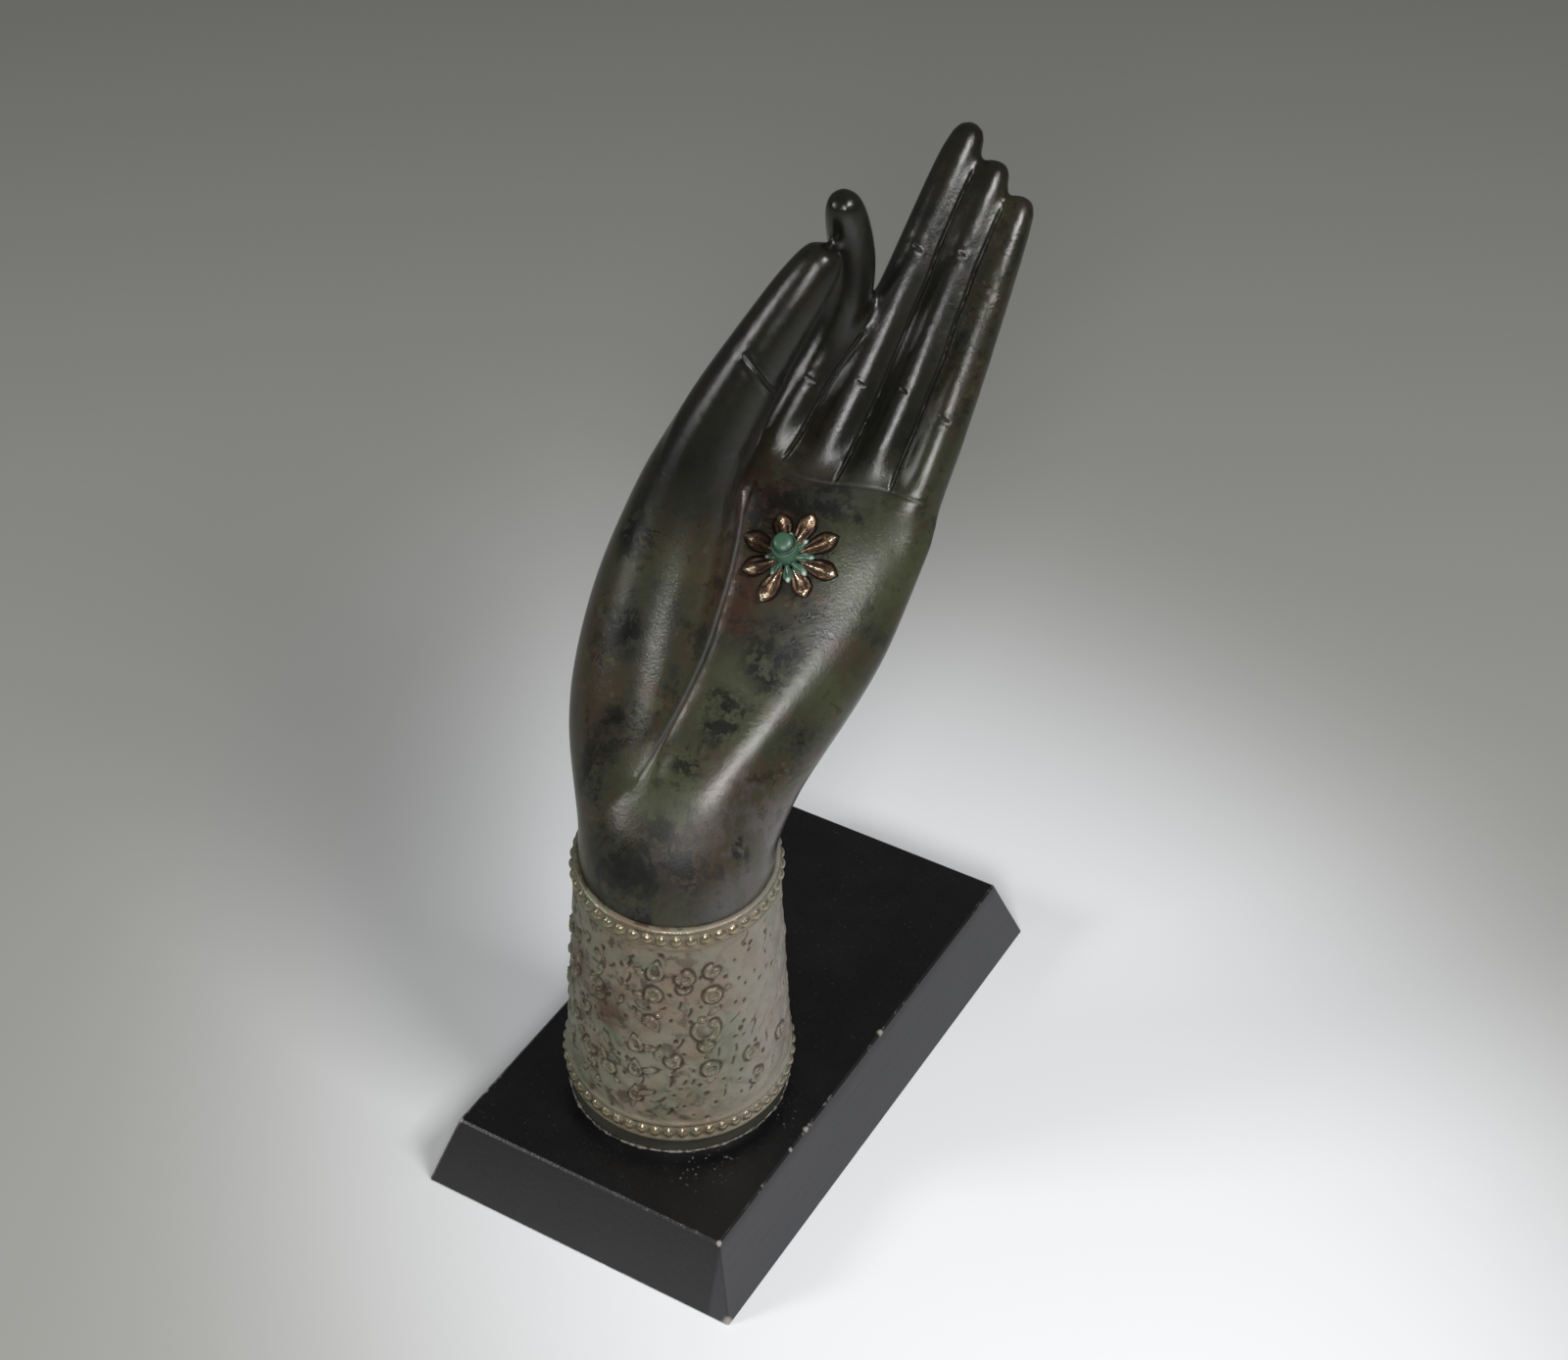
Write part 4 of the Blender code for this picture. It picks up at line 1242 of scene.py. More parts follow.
    def line_share(self, mesh: bpy.types.Mesh, lines: list[Groove]) -> np.ndarray:
        """Measure how near each vertex is to a carved line.

        Args:
            mesh: the form.
            lines: the carved lines.

        Returns:
            A share for each vertex, from 0 to 1.
        """
        places = coordinates(mesh) / MILLIMETRE
        share = np.zeros(len(places))
        for groove in lines:
            signed, _ = groove.measure(places[:, 0], places[:, 1])
            near = np.clip(self.line_reach - np.abs(signed), 0.0, 1.0)
            share = np.maximum(share, near * groove.level(places[:, 2]))
        return share * (vertex_normals(mesh)[:, 2] > 0.0)

    def carve(self, form: bpy.types.Object) -> None:
        """Press the grooves and creases into the palm side of the form.

        Args:
            form: the form, in the hand's directions.
        """
        self.relax(form.data, self.base_share(form.data), self.base_passes)
        self.move_corner(form.data)
        lines = self.lines(form)
        bm = bmesh.new()
        bm.from_mesh(form.data)
        for level in range(self.divisions):
            self.divide_near(bm, lines, 1.0 / (level + 1.0))
        bm.to_mesh(form.data)
        bm.free()
        self.relax(form.data, self.line_share(form.data, lines), self.line_passes)
        places = coordinates(form.data)
        normals = vertex_normals(form.data)
        in_mm = places / MILLIMETRE
        facing = np.clip(normals[:, 2] * 2.5 + 0.2, 0.0, 1.0)
        depth = np.zeros(len(places))
        carved = np.zeros(len(places))
        for swell in self.swells:
            depth -= swell.rise(in_mm[:, 0], in_mm[:, 1]) * facing
        for groove in lines:
            signed, strength = groove.measure(in_mm[:, 0], in_mm[:, 1])
            near = groove.level(in_mm[:, 2]) & (np.abs(signed) < groove.reach()) & (facing > 0.0)
            depth[near] += groove.press(signed[near]) * strength[near] * facing[near]
            line = np.exp(-0.5 * (signed[near] / (groove.width * 1.2)) ** 2) * strength[near]
            carved[near] = np.maximum(carved[near], groove.darken * line * facing[near])
        places -= normals * (depth * MILLIMETRE)[:, None]
        store(form.data, "carved", carved)
        place_vertices(form.data, places)

    def divide_near(self, bm: bmesh.types.BMesh, lines: list[Groove], share: float) -> None:
        """Divide the faces close to the carved lines once.

        Args:
            bm: the form.
            lines: the carved lines.
            share: how much of each line's reach is divided.
        """
        centres = np.array([face.calc_center_median() for face in bm.faces]) / MILLIMETRE
        outward = np.array([face.normal.z for face in bm.faces])
        close = np.zeros(len(centres), bool)
        for groove in lines:
            signed, _ = groove.measure(centres[:, 0], centres[:, 1])
            fine = min(groove.reach(), self.line_fine) * share + 0.2
            close |= (np.abs(signed) < fine) & groove.level(centres[:, 2]) & (outward > 0.0)
        bm.faces.ensure_lookup_table()
        edges = {edge for index in np.flatnonzero(close) for edge in bm.faces[index].edges}
        bmesh.ops.subdivide_edges(bm, edges=list(edges), cuts=1, use_grid_fill=True)
        bmesh.ops.triangulate(bm, faces=[face for face in bm.faces if len(face.verts) > 4])

    def fill_mouth(self, mesh: bpy.types.Mesh) -> None:
        """Widen the wrist where it leaves the cuff, so that only a thin dark line is left.

        Args:
            mesh: the carved form, in the world.
        """
        places = coordinates(mesh)
        rise = places[:, 2] - self.sleeve.foot.z
        middle_x = self.sleeve.foot.x + self.sleeve.lean_x * rise
        middle_y = self.sleeve.foot.y + self.sleeve.lean_y * rise
        off_x, off_y = places[:, 0] - middle_x, places[:, 1] - middle_y
        radius = np.hypot(off_x, off_y)
        share = np.clip((self.mouth_top - places[:, 2]) / self.mouth_fade, 0.0, 1.0)
        growth = 1.0 + self.mouth_growth * share * share * (3.0 - 2.0 * share) / radius
        places[:, 0] = middle_x + off_x * growth
        places[:, 1] = middle_y + off_y * growth
        place_vertices(mesh, places)

    def stub(self, bm: bmesh.types.BMesh) -> None:
        """Add the plain forearm stub that stands on the plinth.

        Args:
            bm: the empty mesh that takes it.
        """
        foot = self.sleeve.foot.z + self.sleeve.clearance
        bmesh.ops.create_cone(bm, cap_ends=True, segments=self.stub_segments, radius1=1.0,
                              radius2=1.0, depth=1.0)
        top = self.cut_height + self.stub_overlap
        for vertex in bm.verts:
            height = foot if vertex.co.z < 0.0 else top
            radius = self.sleeve.forearm_radius(height)
            middle = self.sleeve.middle(height)
            vertex.co = middle + Vector((vertex.co.x * radius, vertex.co.y * radius, 0.0))

    def build(self, node: bpy.types.Object) -> bpy.types.Object:
        """Build the dressed casting in place of the CAD hand.

        Args:
            node: the CAD hand.

        Returns:
            The new piece.
        """
        form = self.refined(node)
        self.carve(form)
        form.data.transform(self.directions.matrix())
        self.fill_mouth(form.data)
        bm = bmesh.new()
        self.stub(bm)
        bm.from_mesh(form.data)
        bpy.data.objects.remove(form)
        piece = link_piece("cast_hand", bm, BronzePatina().material())
        piece.data.set_sharp_from_angle(angle=self.sharp_angle)
        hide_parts("hand")
        return piece


class Motif(Enum):
    """The small forms that are raised or sunk in the cuff's field."""

    RING = "ring"
    DROP = "drop"
    DOT = "dot"
    PIT = "pit"
    LEAF = "leaf"
    SCROLL = "scroll"
    STROKE = "stroke"


@dataclass(frozen=True)
class Ornament:
    """One motif: its kind, its place in degrees and millimetres, its size and its turn."""

    kind: Motif
    degrees: float
    height: float
    size: float
    turn: float = 0.0


def laid_out(rows: tuple[tuple, ...]) -> tuple[Ornament, ...]:
    """Make an ornament of each row: its kind, degrees, height, size and turn."""
    return tuple(Ornament(*row) for row in rows)


def flames() -> tuple[Ornament, ...]:
    """List the column of ringed flames left of the middle.

    Returns:
        The ornaments.
    """
    ring, drop, leaf = Motif.RING, Motif.DROP, Motif.LEAF
    dot, pit = Motif.DOT, Motif.PIT
    return laid_out((
        (drop, 20.5, 108.6, 2.9, 80.0), (leaf, 13.0, 106.2, 2.2, 150.0), (ring, 19.3, 98.6, 2.1),
        (leaf, 12.5, 97.2, 2.0, 170.0), (drop, 19.0, 86.4, 2.5, -60.0),
        (leaf, 12.5, 88.0, 2.1, 120.0), (dot, 22.0, 90.6, 0.8), (drop, 9.5, 76.6, 2.6, 100.0),
        (leaf, 16.5, 75.6, 2.2, 10.0), (drop, 9.8, 66.2, 2.5, 95.0), (leaf, 16.5, 65.8, 2.4, 15.0),
        (drop, 9.8, 55.0, 2.4, 90.0), (leaf, 15.5, 56.2, 2.2, 20.0), (pit, 28.0, 99.1, 1.0),
    ))


def circles() -> tuple[Ornament, ...]:
    """List the circles, buds and scrolls right of the middle.

    Returns:
        The ornaments.
    """
    ring, scroll, leaf = Motif.RING, Motif.SCROLL, Motif.LEAF
    dot, pit, stroke = Motif.DOT, Motif.PIT, Motif.STROKE
    return laid_out((
        (scroll, 51.0, 107.4, 1.9, 40.0), (pit, 51.0, 103.2, 0.9), (ring, 51.0, 97.6, 2.3),
        (leaf, 52.0, 90.6, 1.7, 30.0), (scroll, 47.0, 83.6, 3.9, 90.0), (pit, 39.0, 87.6, 0.8),
        (dot, 45.0, 88.0, 0.9), (scroll, 47.0, 77.2, 1.8, 30.0), (leaf, 48.0, 72.8, 1.3, 60.0),
        (ring, 49.0, 66.6, 2.3), (leaf, 49.0, 61.4, 1.2, 0.0), (pit, 43.0, 60.3, 0.8),
        (pit, 56.0, 60.4, 0.7), (stroke, 54.0, 72.7, 1.1, 80.0), (scroll, 36.0, 106.0, 2.3, 120.0),
        (scroll, 35.5, 101.8, 1.5, 60.0), (stroke, 34.0, 78.5, 1.9, 60.0), (pit, 35.0, 74.1, 0.8),
        (scroll, 29.5, 71.4, 1.9, 100.0), (pit, 33.5, 70.6, 0.8), (pit, 40.0, 66.5, 0.9),
        (stroke, 29.0, 62.5, 2.0, 85.0), (pit, 30.0, 56.5, 0.7), (pit, 31.0, 80.0, 0.8),
        (dot, 60.0, 98.3, 0.8), (pit, 64.0, 91.0, 0.7), (pit, 67.0, 100.0, 0.7),
        (pit, 71.0, 96.7, 0.7), (pit, 70.0, 89.6, 0.8), (stroke, 64.0, 84.2, 1.7, 40.0),
        (stroke, 76.0, 76.3, 1.9, 65.0), (pit, 63.0, 76.7, 0.8), (stroke, 64.0, 71.7, 1.2, 90.0),
        (stroke, 62.0, 66.9, 1.4, 80.0), (scroll, 73.0, 66.0, 2.2, 60.0), (pit, 66.0, 61.0, 0.8),
        (pit, 65.0, 57.4, 0.8), (scroll, 76.0, 54.5, 2.1, 140.0), (stroke, 84.0, 88.0, 1.4, 50.0),
        (stroke, 92.0, 76.0, 1.7, 70.0), (pit, 88.0, 96.0, 0.8), (scroll, 98.0, 62.0, 2.0, 60.0),
    ))


def scrolls() -> tuple[Ornament, ...]:
    """List the leafy scrolls on the left.

    Returns:
        The ornaments.
    """
    scroll, leaf, drop = Motif.SCROLL, Motif.LEAF, Motif.DROP
    dot, pit = Motif.DOT, Motif.PIT
    return laid_out((
        (pit, 1.0, 107.4, 0.9), (pit, 1.5, 101.2, 0.9), (leaf, 1.0, 92.6, 1.6, 70.0),
        (pit, 4.0, 86.6, 0.9), (leaf, -15.0, 104.4, 1.9, 110.0), (leaf, -13.5, 99.4, 1.9, 70.0),
        (scroll, -16.0, 93.6, 2.0, 80.0), (drop, -12.5, 90.6, 1.7, 80.0),
        (leaf, -15.5, 86.6, 1.8, 20.0), (scroll, -26.0, 79.0, 2.1, 60.0),
        (leaf, -20.0, 73.7, 2.0, 130.0), (drop, -28.0, 65.0, 1.9, 90.0),
        (scroll, -20.5, 63.2, 2.3, 50.0), (leaf, -16.5, 58.8, 1.8, 120.0),
        (leaf, -9.5, 65.4, 2.0, 110.0), (scroll, -6.0, 61.0, 1.9, 100.0), (dot, -1.0, 57.0, 0.8),
        (leaf, -24.0, 51.6, 1.7, 60.0), (dot, -13.0, 52.6, 0.8), (leaf, -8.0, 73.0, 1.9, 120.0),
        (pit, 0.0, 69.0, 0.8), (leaf, -32.0, 95.0, 2.0, 90.0), (scroll, -38.0, 88.0, 2.3, 70.0),
        (drop, -36.0, 103.0, 2.0, 60.0), (leaf, -42.0, 78.0, 2.0, 120.0),
        (scroll, -36.0, 70.0, 2.0, 60.0), (leaf, -38.0, 59.0, 1.9, 80.0), (dot, -25.0, 108.0, 0.9),
        (scroll, -52.0, 98.0, 2.2, 60.0), (leaf, -54.0, 86.0, 2.0, 90.0),
        (scroll, -56.0, 73.0, 2.2, 120.0), (leaf, -52.0, 62.0, 2.0, 70.0),
    ))


@dataclass
class Cuff:
    """The cast sleeve with beaded borders and a field of low ornaments."""

    sleeve: Sleeve
    columns: int = 500
    rows: int = 172
    line_height: float = 1.6
    line_proud: float = 0.75
    band_height: float = 4.8
    bead_pitch: float = 4.4
    bead_radius: float = 1.95
    bead_proud: float = 1.65
    mouth_depth: float = 0.012
    edge_ease: float = 0.0005
    wire: float = 0.52
    motif_height: float = 0.95
    pit_count: int = 290
    lumps: float = 0.13
    motif_growth: float = 1.18
    motif_reach: float = 7.0
    pit_seed: int = 11
    pit_radius: float = 34.0
    pit_sizes: tuple[float, float] = (0.50, 1.15)
    stroke_share: float = 0.3
    stroke_growth: float = 1.6
    lowest: float = -0.6
    inner_hollow: float = 0.8

    def border(self, angle: np.ndarray, from_edge: np.ndarray, radius: float) -> np.ndarray:
        """Return the height of the border's lines and beads.

        Args:
            angle: turn of each vertex, in radians.
            from_edge: distance of each vertex from the rim, in millimetres.
            radius: the cuff's radius at this border, in millimetres.

        Returns:
            The height above the plain field, in millimetres.
        """
        count = round(2.0 * math.pi * radius / self.bead_pitch)
        pitch = 2.0 * math.pi / count
        off = (angle / pitch - np.round(angle / pitch)) * pitch * radius
        middle = self.line_height + self.band_height / 2.0
        spread = np.hypot(off, (from_edge - middle) * 0.96) / self.bead_radius
        bead = self.bead_proud * np.sqrt(np.clip(1.0 - spread**2, 0.0, 1.0))
        height = np.where(from_edge < self.line_height * 2.0 + self.band_height, -0.25, 0.0)
        inner_line = self.line_height * 1.5 + self.band_height
        for line in (self.line_height / 2.0, inner_line):
            away = np.abs(from_edge - line) / (self.line_height / 2.0)
            rounded = np.sqrt(np.clip(1.0 - away**2, 0.0, 1.0))
            height = np.maximum(height, self.line_proud * rounded)
        return np.maximum(height, bead)

    def motif(self, ornament: Ornament, across: np.ndarray,
              above: np.ndarray) -> tuple[np.ndarray, np.ndarray]:
        """Return the height and hollow of one motif.

        Args:
            ornament: the motif.
            across: distance of each vertex from it round the cuff, in millimetres.
            above: distance of each vertex above it, in millimetres.

        Returns:
            The raised height and the hollow's strength.
        """
        turn = math.radians(ornament.turn)
        size = ornament.size * self.motif_growth
        u = (across * math.cos(turn) + above * math.sin(turn)) / size
        v = (above * math.cos(turn) - across * math.sin(turn)) / size
        reach = np.hypot(u, v)
        wire = self.wire / size
        dish = np.zeros_like(reach)
        if ornament.kind is Motif.PIT:
            pit = np.exp(-((reach / 0.75) ** 4))
            rim = np.exp(-(((reach - 1.35) / 0.4) ** 2))
            return 0.22 * rim - 0.50 * pit, pit
        if ornament.kind is Motif.DOT:
            around = np.exp(-(((reach - 1.35) / 0.3) ** 2))
            return 0.95 * np.sqrt(np.clip(1.0 - reach**2, 0.0, 1.0)) - 0.2 * around, around * 0.9
        if ornament.kind is Motif.LEAF:
            body = np.clip(1.0 - u**2 - (v / 0.42) ** 2, 0.0, 1.0)
            groove = np.exp(-((v / 0.10) ** 2)) * 0.4
            edge = np.exp(-(((np.hypot(u, v / 0.42) - 1.22) / 0.22) ** 2))
            return 1.0 * np.sqrt(body) * (1.0 - groove) - 0.3 * edge, edge * 0.9
        if ornament.kind is Motif.STROKE:
            line = np.hypot(v - 0.18 * u * u, np.clip(np.abs(u) - 0.9, 0.0, None))
            cut = np.exp(-((line / (wire * 0.9)) ** 2))
            lip = np.exp(-(((line - 2.0 * wire) / wire) ** 2)) * (v > 0.0)
            return 0.35 * lip - 0.50 * cut, cut
        if ornament.kind is Motif.RING:
            line = np.abs(reach - 0.85)
            dish = np.exp(-((reach / 0.6) ** 4)) * 0.12
        elif ornament.kind is Motif.DROP:
            narrow = np.clip(0.62 * (1.0 - 0.45 * u), 0.2, 2.0)
            line = np.abs(np.hypot(u, v / narrow) - 0.9)
            dish = np.exp(-((reach / 0.5) ** 4)) * 0.12
        else:
            shut = np.clip((0.75 - np.abs(np.arctan2(v, u))) / 0.3, 0.0, 1.0)
            line = np.abs(reach - 0.85) + shut
            line = np.minimum(line, np.abs(np.hypot(u - 0.45, v + 0.55) - 0.2))
        raised = self.motif_height * np.exp(-((line / wire) ** 2) * 0.8)
        outside = np.where(reach > 0.8, 1.0, 0.55)
        around = np.exp(-(((line - 2.1 * wire) / (1.15 * wire)) ** 2)) * outside
        return raised - 0.30 * around - dish, around * 0.95

    def field(self, angle: np.ndarray, height: np.ndarray) -> tuple[np.ndarray, np.ndarray]:
        """Return the relief and the hollows of the whole field.

        Args:
            angle: turn of each vertex, in radians.
            height: height of each vertex before the tilt, in millimetres.

        Returns:
            The raised height in millimetres, and the strength of the hollows.
        """
        relief = self.lumps * (np.sin(angle * 17.0 + np.sin(height / 2.3) * 1.7)
                               + np.sin(height / 1.5 + np.sin(angle * 11.0) * 1.9)
                               + np.sin(angle * 31.0 + height / 1.1 + 2.0) * 0.5)
        hollow = np.zeros_like(angle)
        placed = flames() + circles() + scrolls()
        for ornament in placed + self.small_pits(placed):
            radius = self.sleeve.field_radius(ornament.height * MILLIMETRE) / MILLIMETRE
            turn = angle - math.radians(ornament.degrees)
            across = ((turn + math.pi) % (2.0 * math.pi) - math.pi) * radius
            above = height - ornament.height
            near = np.maximum(np.abs(across), np.abs(above)) < self.motif_reach
            raised, sunk = self.motif(ornament, across[near], above[near])
            relief[near] += raised
            hollow[near] = np.maximum(hollow[near], sunk * (raised < 0.3))
        return np.clip(relief, self.lowest, 1.0), hollow

    def small_pits(self, placed: tuple[Ornament, ...]) -> tuple[Ornament, ...]:
        """Return small pits and strokes scattered where the field is still plain.

        Args:
            placed: the ornaments that stand at known places.

        Returns:
            The scattered ones, which keep clear of them.
        """
        scatter = np.random.default_rng(self.pit_seed)
        border = 2.0 * self.line_height + self.band_height + 1.0
        low = self.sleeve.bottom_height / MILLIMETRE + border
        high = self.sleeve.top_height / MILLIMETRE - border
        taken = [(math.radians(item.degrees) * self.pit_radius, item.height, item.size)
                 for item in placed]
        found = []
        for _ in range(self.pit_count * 6):
            degrees = float(scatter.uniform(-180.0, 180.0))
            height = float(scatter.uniform(low, high))
            size = float(scatter.uniform(*self.pit_sizes))
            across = math.radians(degrees) * self.pit_radius
            if all(math.hypot(across - x, height - z) > size + r + 0.5 for x, z, r in taken):
                stroke = scatter.uniform() < self.stroke_share
                turn = float(scatter.uniform(30.0, 100.0))
                kind = Motif.STROKE if stroke else Motif.PIT
                growth = self.stroke_growth if stroke else 1.0
                found.append(Ornament(kind, degrees, height, size * growth, turn))
                taken.append((across, height, size))
            if len(found) == self.pit_count:
                break
        return tuple(found)

    def relief(self, angle: np.ndarray, height: np.ndarray) -> tuple[np.ndarray, np.ndarray]:
        """Return the relief and the hollows of the field and of both borders.

        Args:
            angle: turn of each vertex, in radians.
            height: height of each vertex before the tilt, in millimetres.

        Returns:
            The raised height in millimetres, and the strength of the hollows.
        """
        relief, hollow = self.field(angle, height)
        border_height = 2.0 * self.line_height + self.band_height
        in_border = np.zeros(len(angle), bool)
        for edge, inward in ((self.sleeve.bottom_height, 1.0), (self.sleeve.top_height, -1.0)):
            from_edge = (height - edge / MILLIMETRE) * inward
            radius = self.sleeve.field_radius(edge) / MILLIMETRE
            inside = from_edge < border_height
            relief = np.where(inside, self.border(angle, from_edge, radius), relief)
            in_border |= inside
        pits = np.where((relief < -0.1) & in_border, 0.9, 0.0)
        return relief, np.maximum(np.where(in_border, 0.0, hollow), pits)

    def build(self) -> bpy.types.Object:
        """Build the cuff in place of the CAD cuff.

        Returns:
            The new piece.
        """
        sleeve = self.sleeve
        bm = bmesh.new()
        bmesh.ops.create_grid(bm, x_segments=self.columns, y_segments=self.rows, size=1.0)
        corners = np.array([vertex.co for vertex in bm.verts])
        angle = corners[:, 0] * math.pi
        row = np.round((corners[:, 1] + 1.0) / 2.0 * self.rows).astype(int)
        inner_heights = (sleeve.top_height, sleeve.top_height - self.mouth_depth,
                         sleeve.bottom_height)
        outer_rows = self.rows - len(inner_heights)
        bottom, top = sleeve.bottom_height / MILLIMETRE, sleeve.top_height / MILLIMETRE
        height = bottom + (top - bottom) * np.clip(row / outer_rows, 0.0, 1.0)
        relief, hollow = self.relief(angle, height)
        lifted = bm.verts.layers.float.new("relief")
        sunk = bm.verts.layers.float.new("hollow")
        raised_share = np.clip(relief / 0.8, 0.0, 1.0)
        for index, vertex in enumerate(bm.verts):
            if row[index] > outer_rows:
                at = inner_heights[row[index] - outer_rows - 1]
                radius = sleeve.forearm_radius(at) + sleeve.clearance
                vertex[sunk] = self.inner_hollow
            else:
                at = height[index] * MILLIMETRE
                edge = self.edge_ease if row[index] in (0, outer_rows) else 0.0
                radius = sleeve.field_radius(at) + relief[index] * MILLIMETRE - edge
                vertex[lifted] = float(raised_share[index])
                vertex[sunk] = float(hollow[index])
            vertex.co = sleeve.point(angle[index], at, radius)
        self.close(bm)
        piece = link_piece("cast_cuff", bm, Verdigris().material())
        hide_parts("cuff")
        return piece

    def close(self, bm: bmesh.types.BMesh) -> None:
        """Weld the seam and close the sleeve's lower edge.

        Args:
            bm: the sleeve's mesh.
        """
        bmesh.ops.remove_doubles(bm, verts=bm.verts, dist=MERGE_DISTANCE)
        open_edges = [edge for edge in bm.edges if edge.is_boundary]
        bmesh.ops.bridge_loops(bm, edges=open_edges)
        bmesh.ops.recalc_face_normals(bm, faces=bm.faces)


def bell(off: float, width: float) -> float:
    """Return 1 at no distance, falling off as a bell over a width."""
    return math.exp(-((off / width) ** 2))


class Palm:
    """The carved palm's surface, felt along the hand's outward direction."""

    def __init__(self, hand: bpy.types.Object, directions: HandDirections) -> None:
        """Read the finished casting.

        Args:
            hand: the casting.
            directions: the hand's own directions.
        """
        self.frame = directions.matrix()
        self.out = self.frame.to_3x3().col[2].normalized()
        self.tree = surface_tree(hand.data)

    def height(self, across: float, along: float) -> float:
        """Return how far the palm stands out at a place.

        Args:
            across: the place across the palm, in metres.
            along: the place along the fingers, in metres.

        Returns:
            The height, in metres.
        """
        start = self.frame @ Vector((across, along, FEEL_FROM))
        hit = self.tree.ray_cast(start, -self.out)
        return FEEL_FROM - hit[3]


@dataclass
class Rosette:
    """The rosette: eight spoon-shaped gilt petals, and a green boss on a ring of small petals."""

    palm: Palm
    across: float = 0.0030
    along: float = 0.0963
    petals: int = 8
    root: float = 0.0030
    width: float = 0.0064
    thickness: float = 0.0016
    lift: float = 0.0010
    small_petal: tuple[float, float, float, float] = (0.0022, 0.0078, 0.0038, 0.0012)
    small_lift: float = 0.0034
    belly: float = 0.66
    under: float = 0.0008
    boss_across: float = -0.0030
    boss_along: float = 0.00348
    boss_tilt: float = math.radians(-24.0)
    boss_sink: float = 0.0008
    tilt_from: float = 0.0030
    knob_height: float = 0.0065
    knob_steps: int = 40
    knob_within: float = 0.02
    groove_radius: float = 0.0033
    groove_width: float = 0.0003
    groove_above: float = 0.0036
    petal_grid: tuple[int, int] = (20, 16)
    petal_gap: float = 0.0004
    profile: Line = (
        (0.0038, 0.0), (0.0039, 0.0026), (0.0040, 0.0040), (0.0039, 0.0047), (0.0036, 0.0049),
        (0.0034, 0.0047), (0.0033, 0.0046), (0.0032, 0.0052), (0.0029, 0.0058), (0.0020, 0.0062),
        (0.0010, 0.0063), (0.0, 0.0063),
    )
    reaches: tuple[float, ...] = (0.0156, 0.0160, 0.0150, 0.0140, 0.0163, 0.0155, 0.0160, 0.0132)
    swings: tuple[float, ...] = (3.0, 2.0, -3.0, -6.0, -2.0, -8.0, -9.0, 3.0)

    def petal(self, bm: bmesh.types.BMesh, layers: tuple[Layer, Layer], angle: float,
              sizes: tuple[float, float, float, float], lift: float) -> None:
        """Add one closed, spoon-shaped petal.

        Args:
            bm: the mesh that takes it.
            layers: the relief and hollow layers.
            angle: the petal's direction.
            sizes: its root, reach, width and thickness.
            lift: how high its root stands above the palm.
        """
        root, reach, width, thick = sizes
        long, wide = self.petal_grid
        made = bmesh.ops.create_grid(bm, x_segments=long, y_segments=wide, size=1.0)["verts"]
        for vertex in made:
            u = (vertex.co.x + 1.0) / 2.0
            v = vertex.co.y
            opening = math.sin(math.pi / 2.0 * min(u / self.belly, 1.0)) ** 1.5
            half = width / 2.0 * (0.30 + 0.70 * opening)
            if u > self.belly:
                half *= max(1.0 - ((u - self.belly) / (1.0 - self.belly)) ** 2.1, 0.02)
            distance = root + (reach - root) * u
            side = half * v
            across = self.across + distance * math.cos(angle) - side * math.sin(angle)
            along = self.along + distance * math.sin(angle) + side * math.cos(angle)
            dome = 1.0 - abs(v) ** 2.6
            vein = bell(v, 0.16) * bell(u - 0.25, 0.25)
            folds = bell(abs(v) - 0.42, 0.13) * bell(u - 0.42, 0.26)
            tip = bell(u - 0.84, 0.13) * (1.0 - abs(v))
            shape = 0.35 + 0.60 * dome + 0.25 * vein - 0.42 * folds + 0.40 * tip
            edge = 1.0 if abs(v) < 0.98 and 0.01 < u < 0.99 else 0.0
            rise = lift * (1.0 - u) ** 1.5 + thick * shape * edge + self.petal_gap
            seat = self.palm.height(across, along)
            vertex.co = self.palm.frame @ Vector((across, along, seat + rise))
            vertex[layers[0]] = min(max(shape - 0.40, 0.0) * 1.25 * edge, 1.0)
            vertex[layers[1]] = 1.0 - edge
        faces = {face for vertex in made for face in vertex.link_faces}
        shell = bmesh.ops.extrude_face_region(bm, geom=list(faces))["geom"]
        for item in shell:
            if isinstance(item, bmesh.types.BMVert):
                item.co -= self.palm.out * self.under
                item[layers[0]] = 0.0

    def layers(self, bm: bmesh.types.BMesh) -> tuple[Layer, Layer]:
        """Return the relief and hollow layers of a new mesh."""
        return bm.verts.layers.float.new("relief"), bm.verts.layers.float.new("hollow")

    def gilt_petals(self) -> bpy.types.Object:
        """Build the ring of gilt petals.

        Returns:
            The new piece.
        """
        bm = bmesh.new()
        layers = self.layers(bm)
        for index in range(self.petals):
            angle = 2.0 * math.pi * index / self.petals + math.radians(self.swings[index])
            sizes = (self.root, self.reaches[index], self.width, self.thickness)
            self.petal(bm, layers, angle, sizes, self.lift)
        bmesh.ops.recalc_face_normals(bm, faces=bm.faces)
        piece = link_piece("gilt_petals", bm, WornGilt().material())
        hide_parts("palm_rosette")
        return piece

    def boss(self) -> bpy.types.Object:
        """Build the green boss: a leaning knob with a ring groove, on small petals.

        Returns:
            The new piece.
        """
        bm = bmesh.new()
        layers = self.layers(bm)
        for index in range(self.petals):
            angle = 2.0 * math.pi * (index + 0.5) / self.petals
            self.petal(bm, layers, angle, self.small_petal, self.small_lift)
        self.knob(bm, layers)
        bmesh.ops.recalc_face_normals(bm, faces=bm.faces)
        piece = link_piece("green_boss", bm, GreenEnamel().material())
        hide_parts("rosette_boss")
        return piece

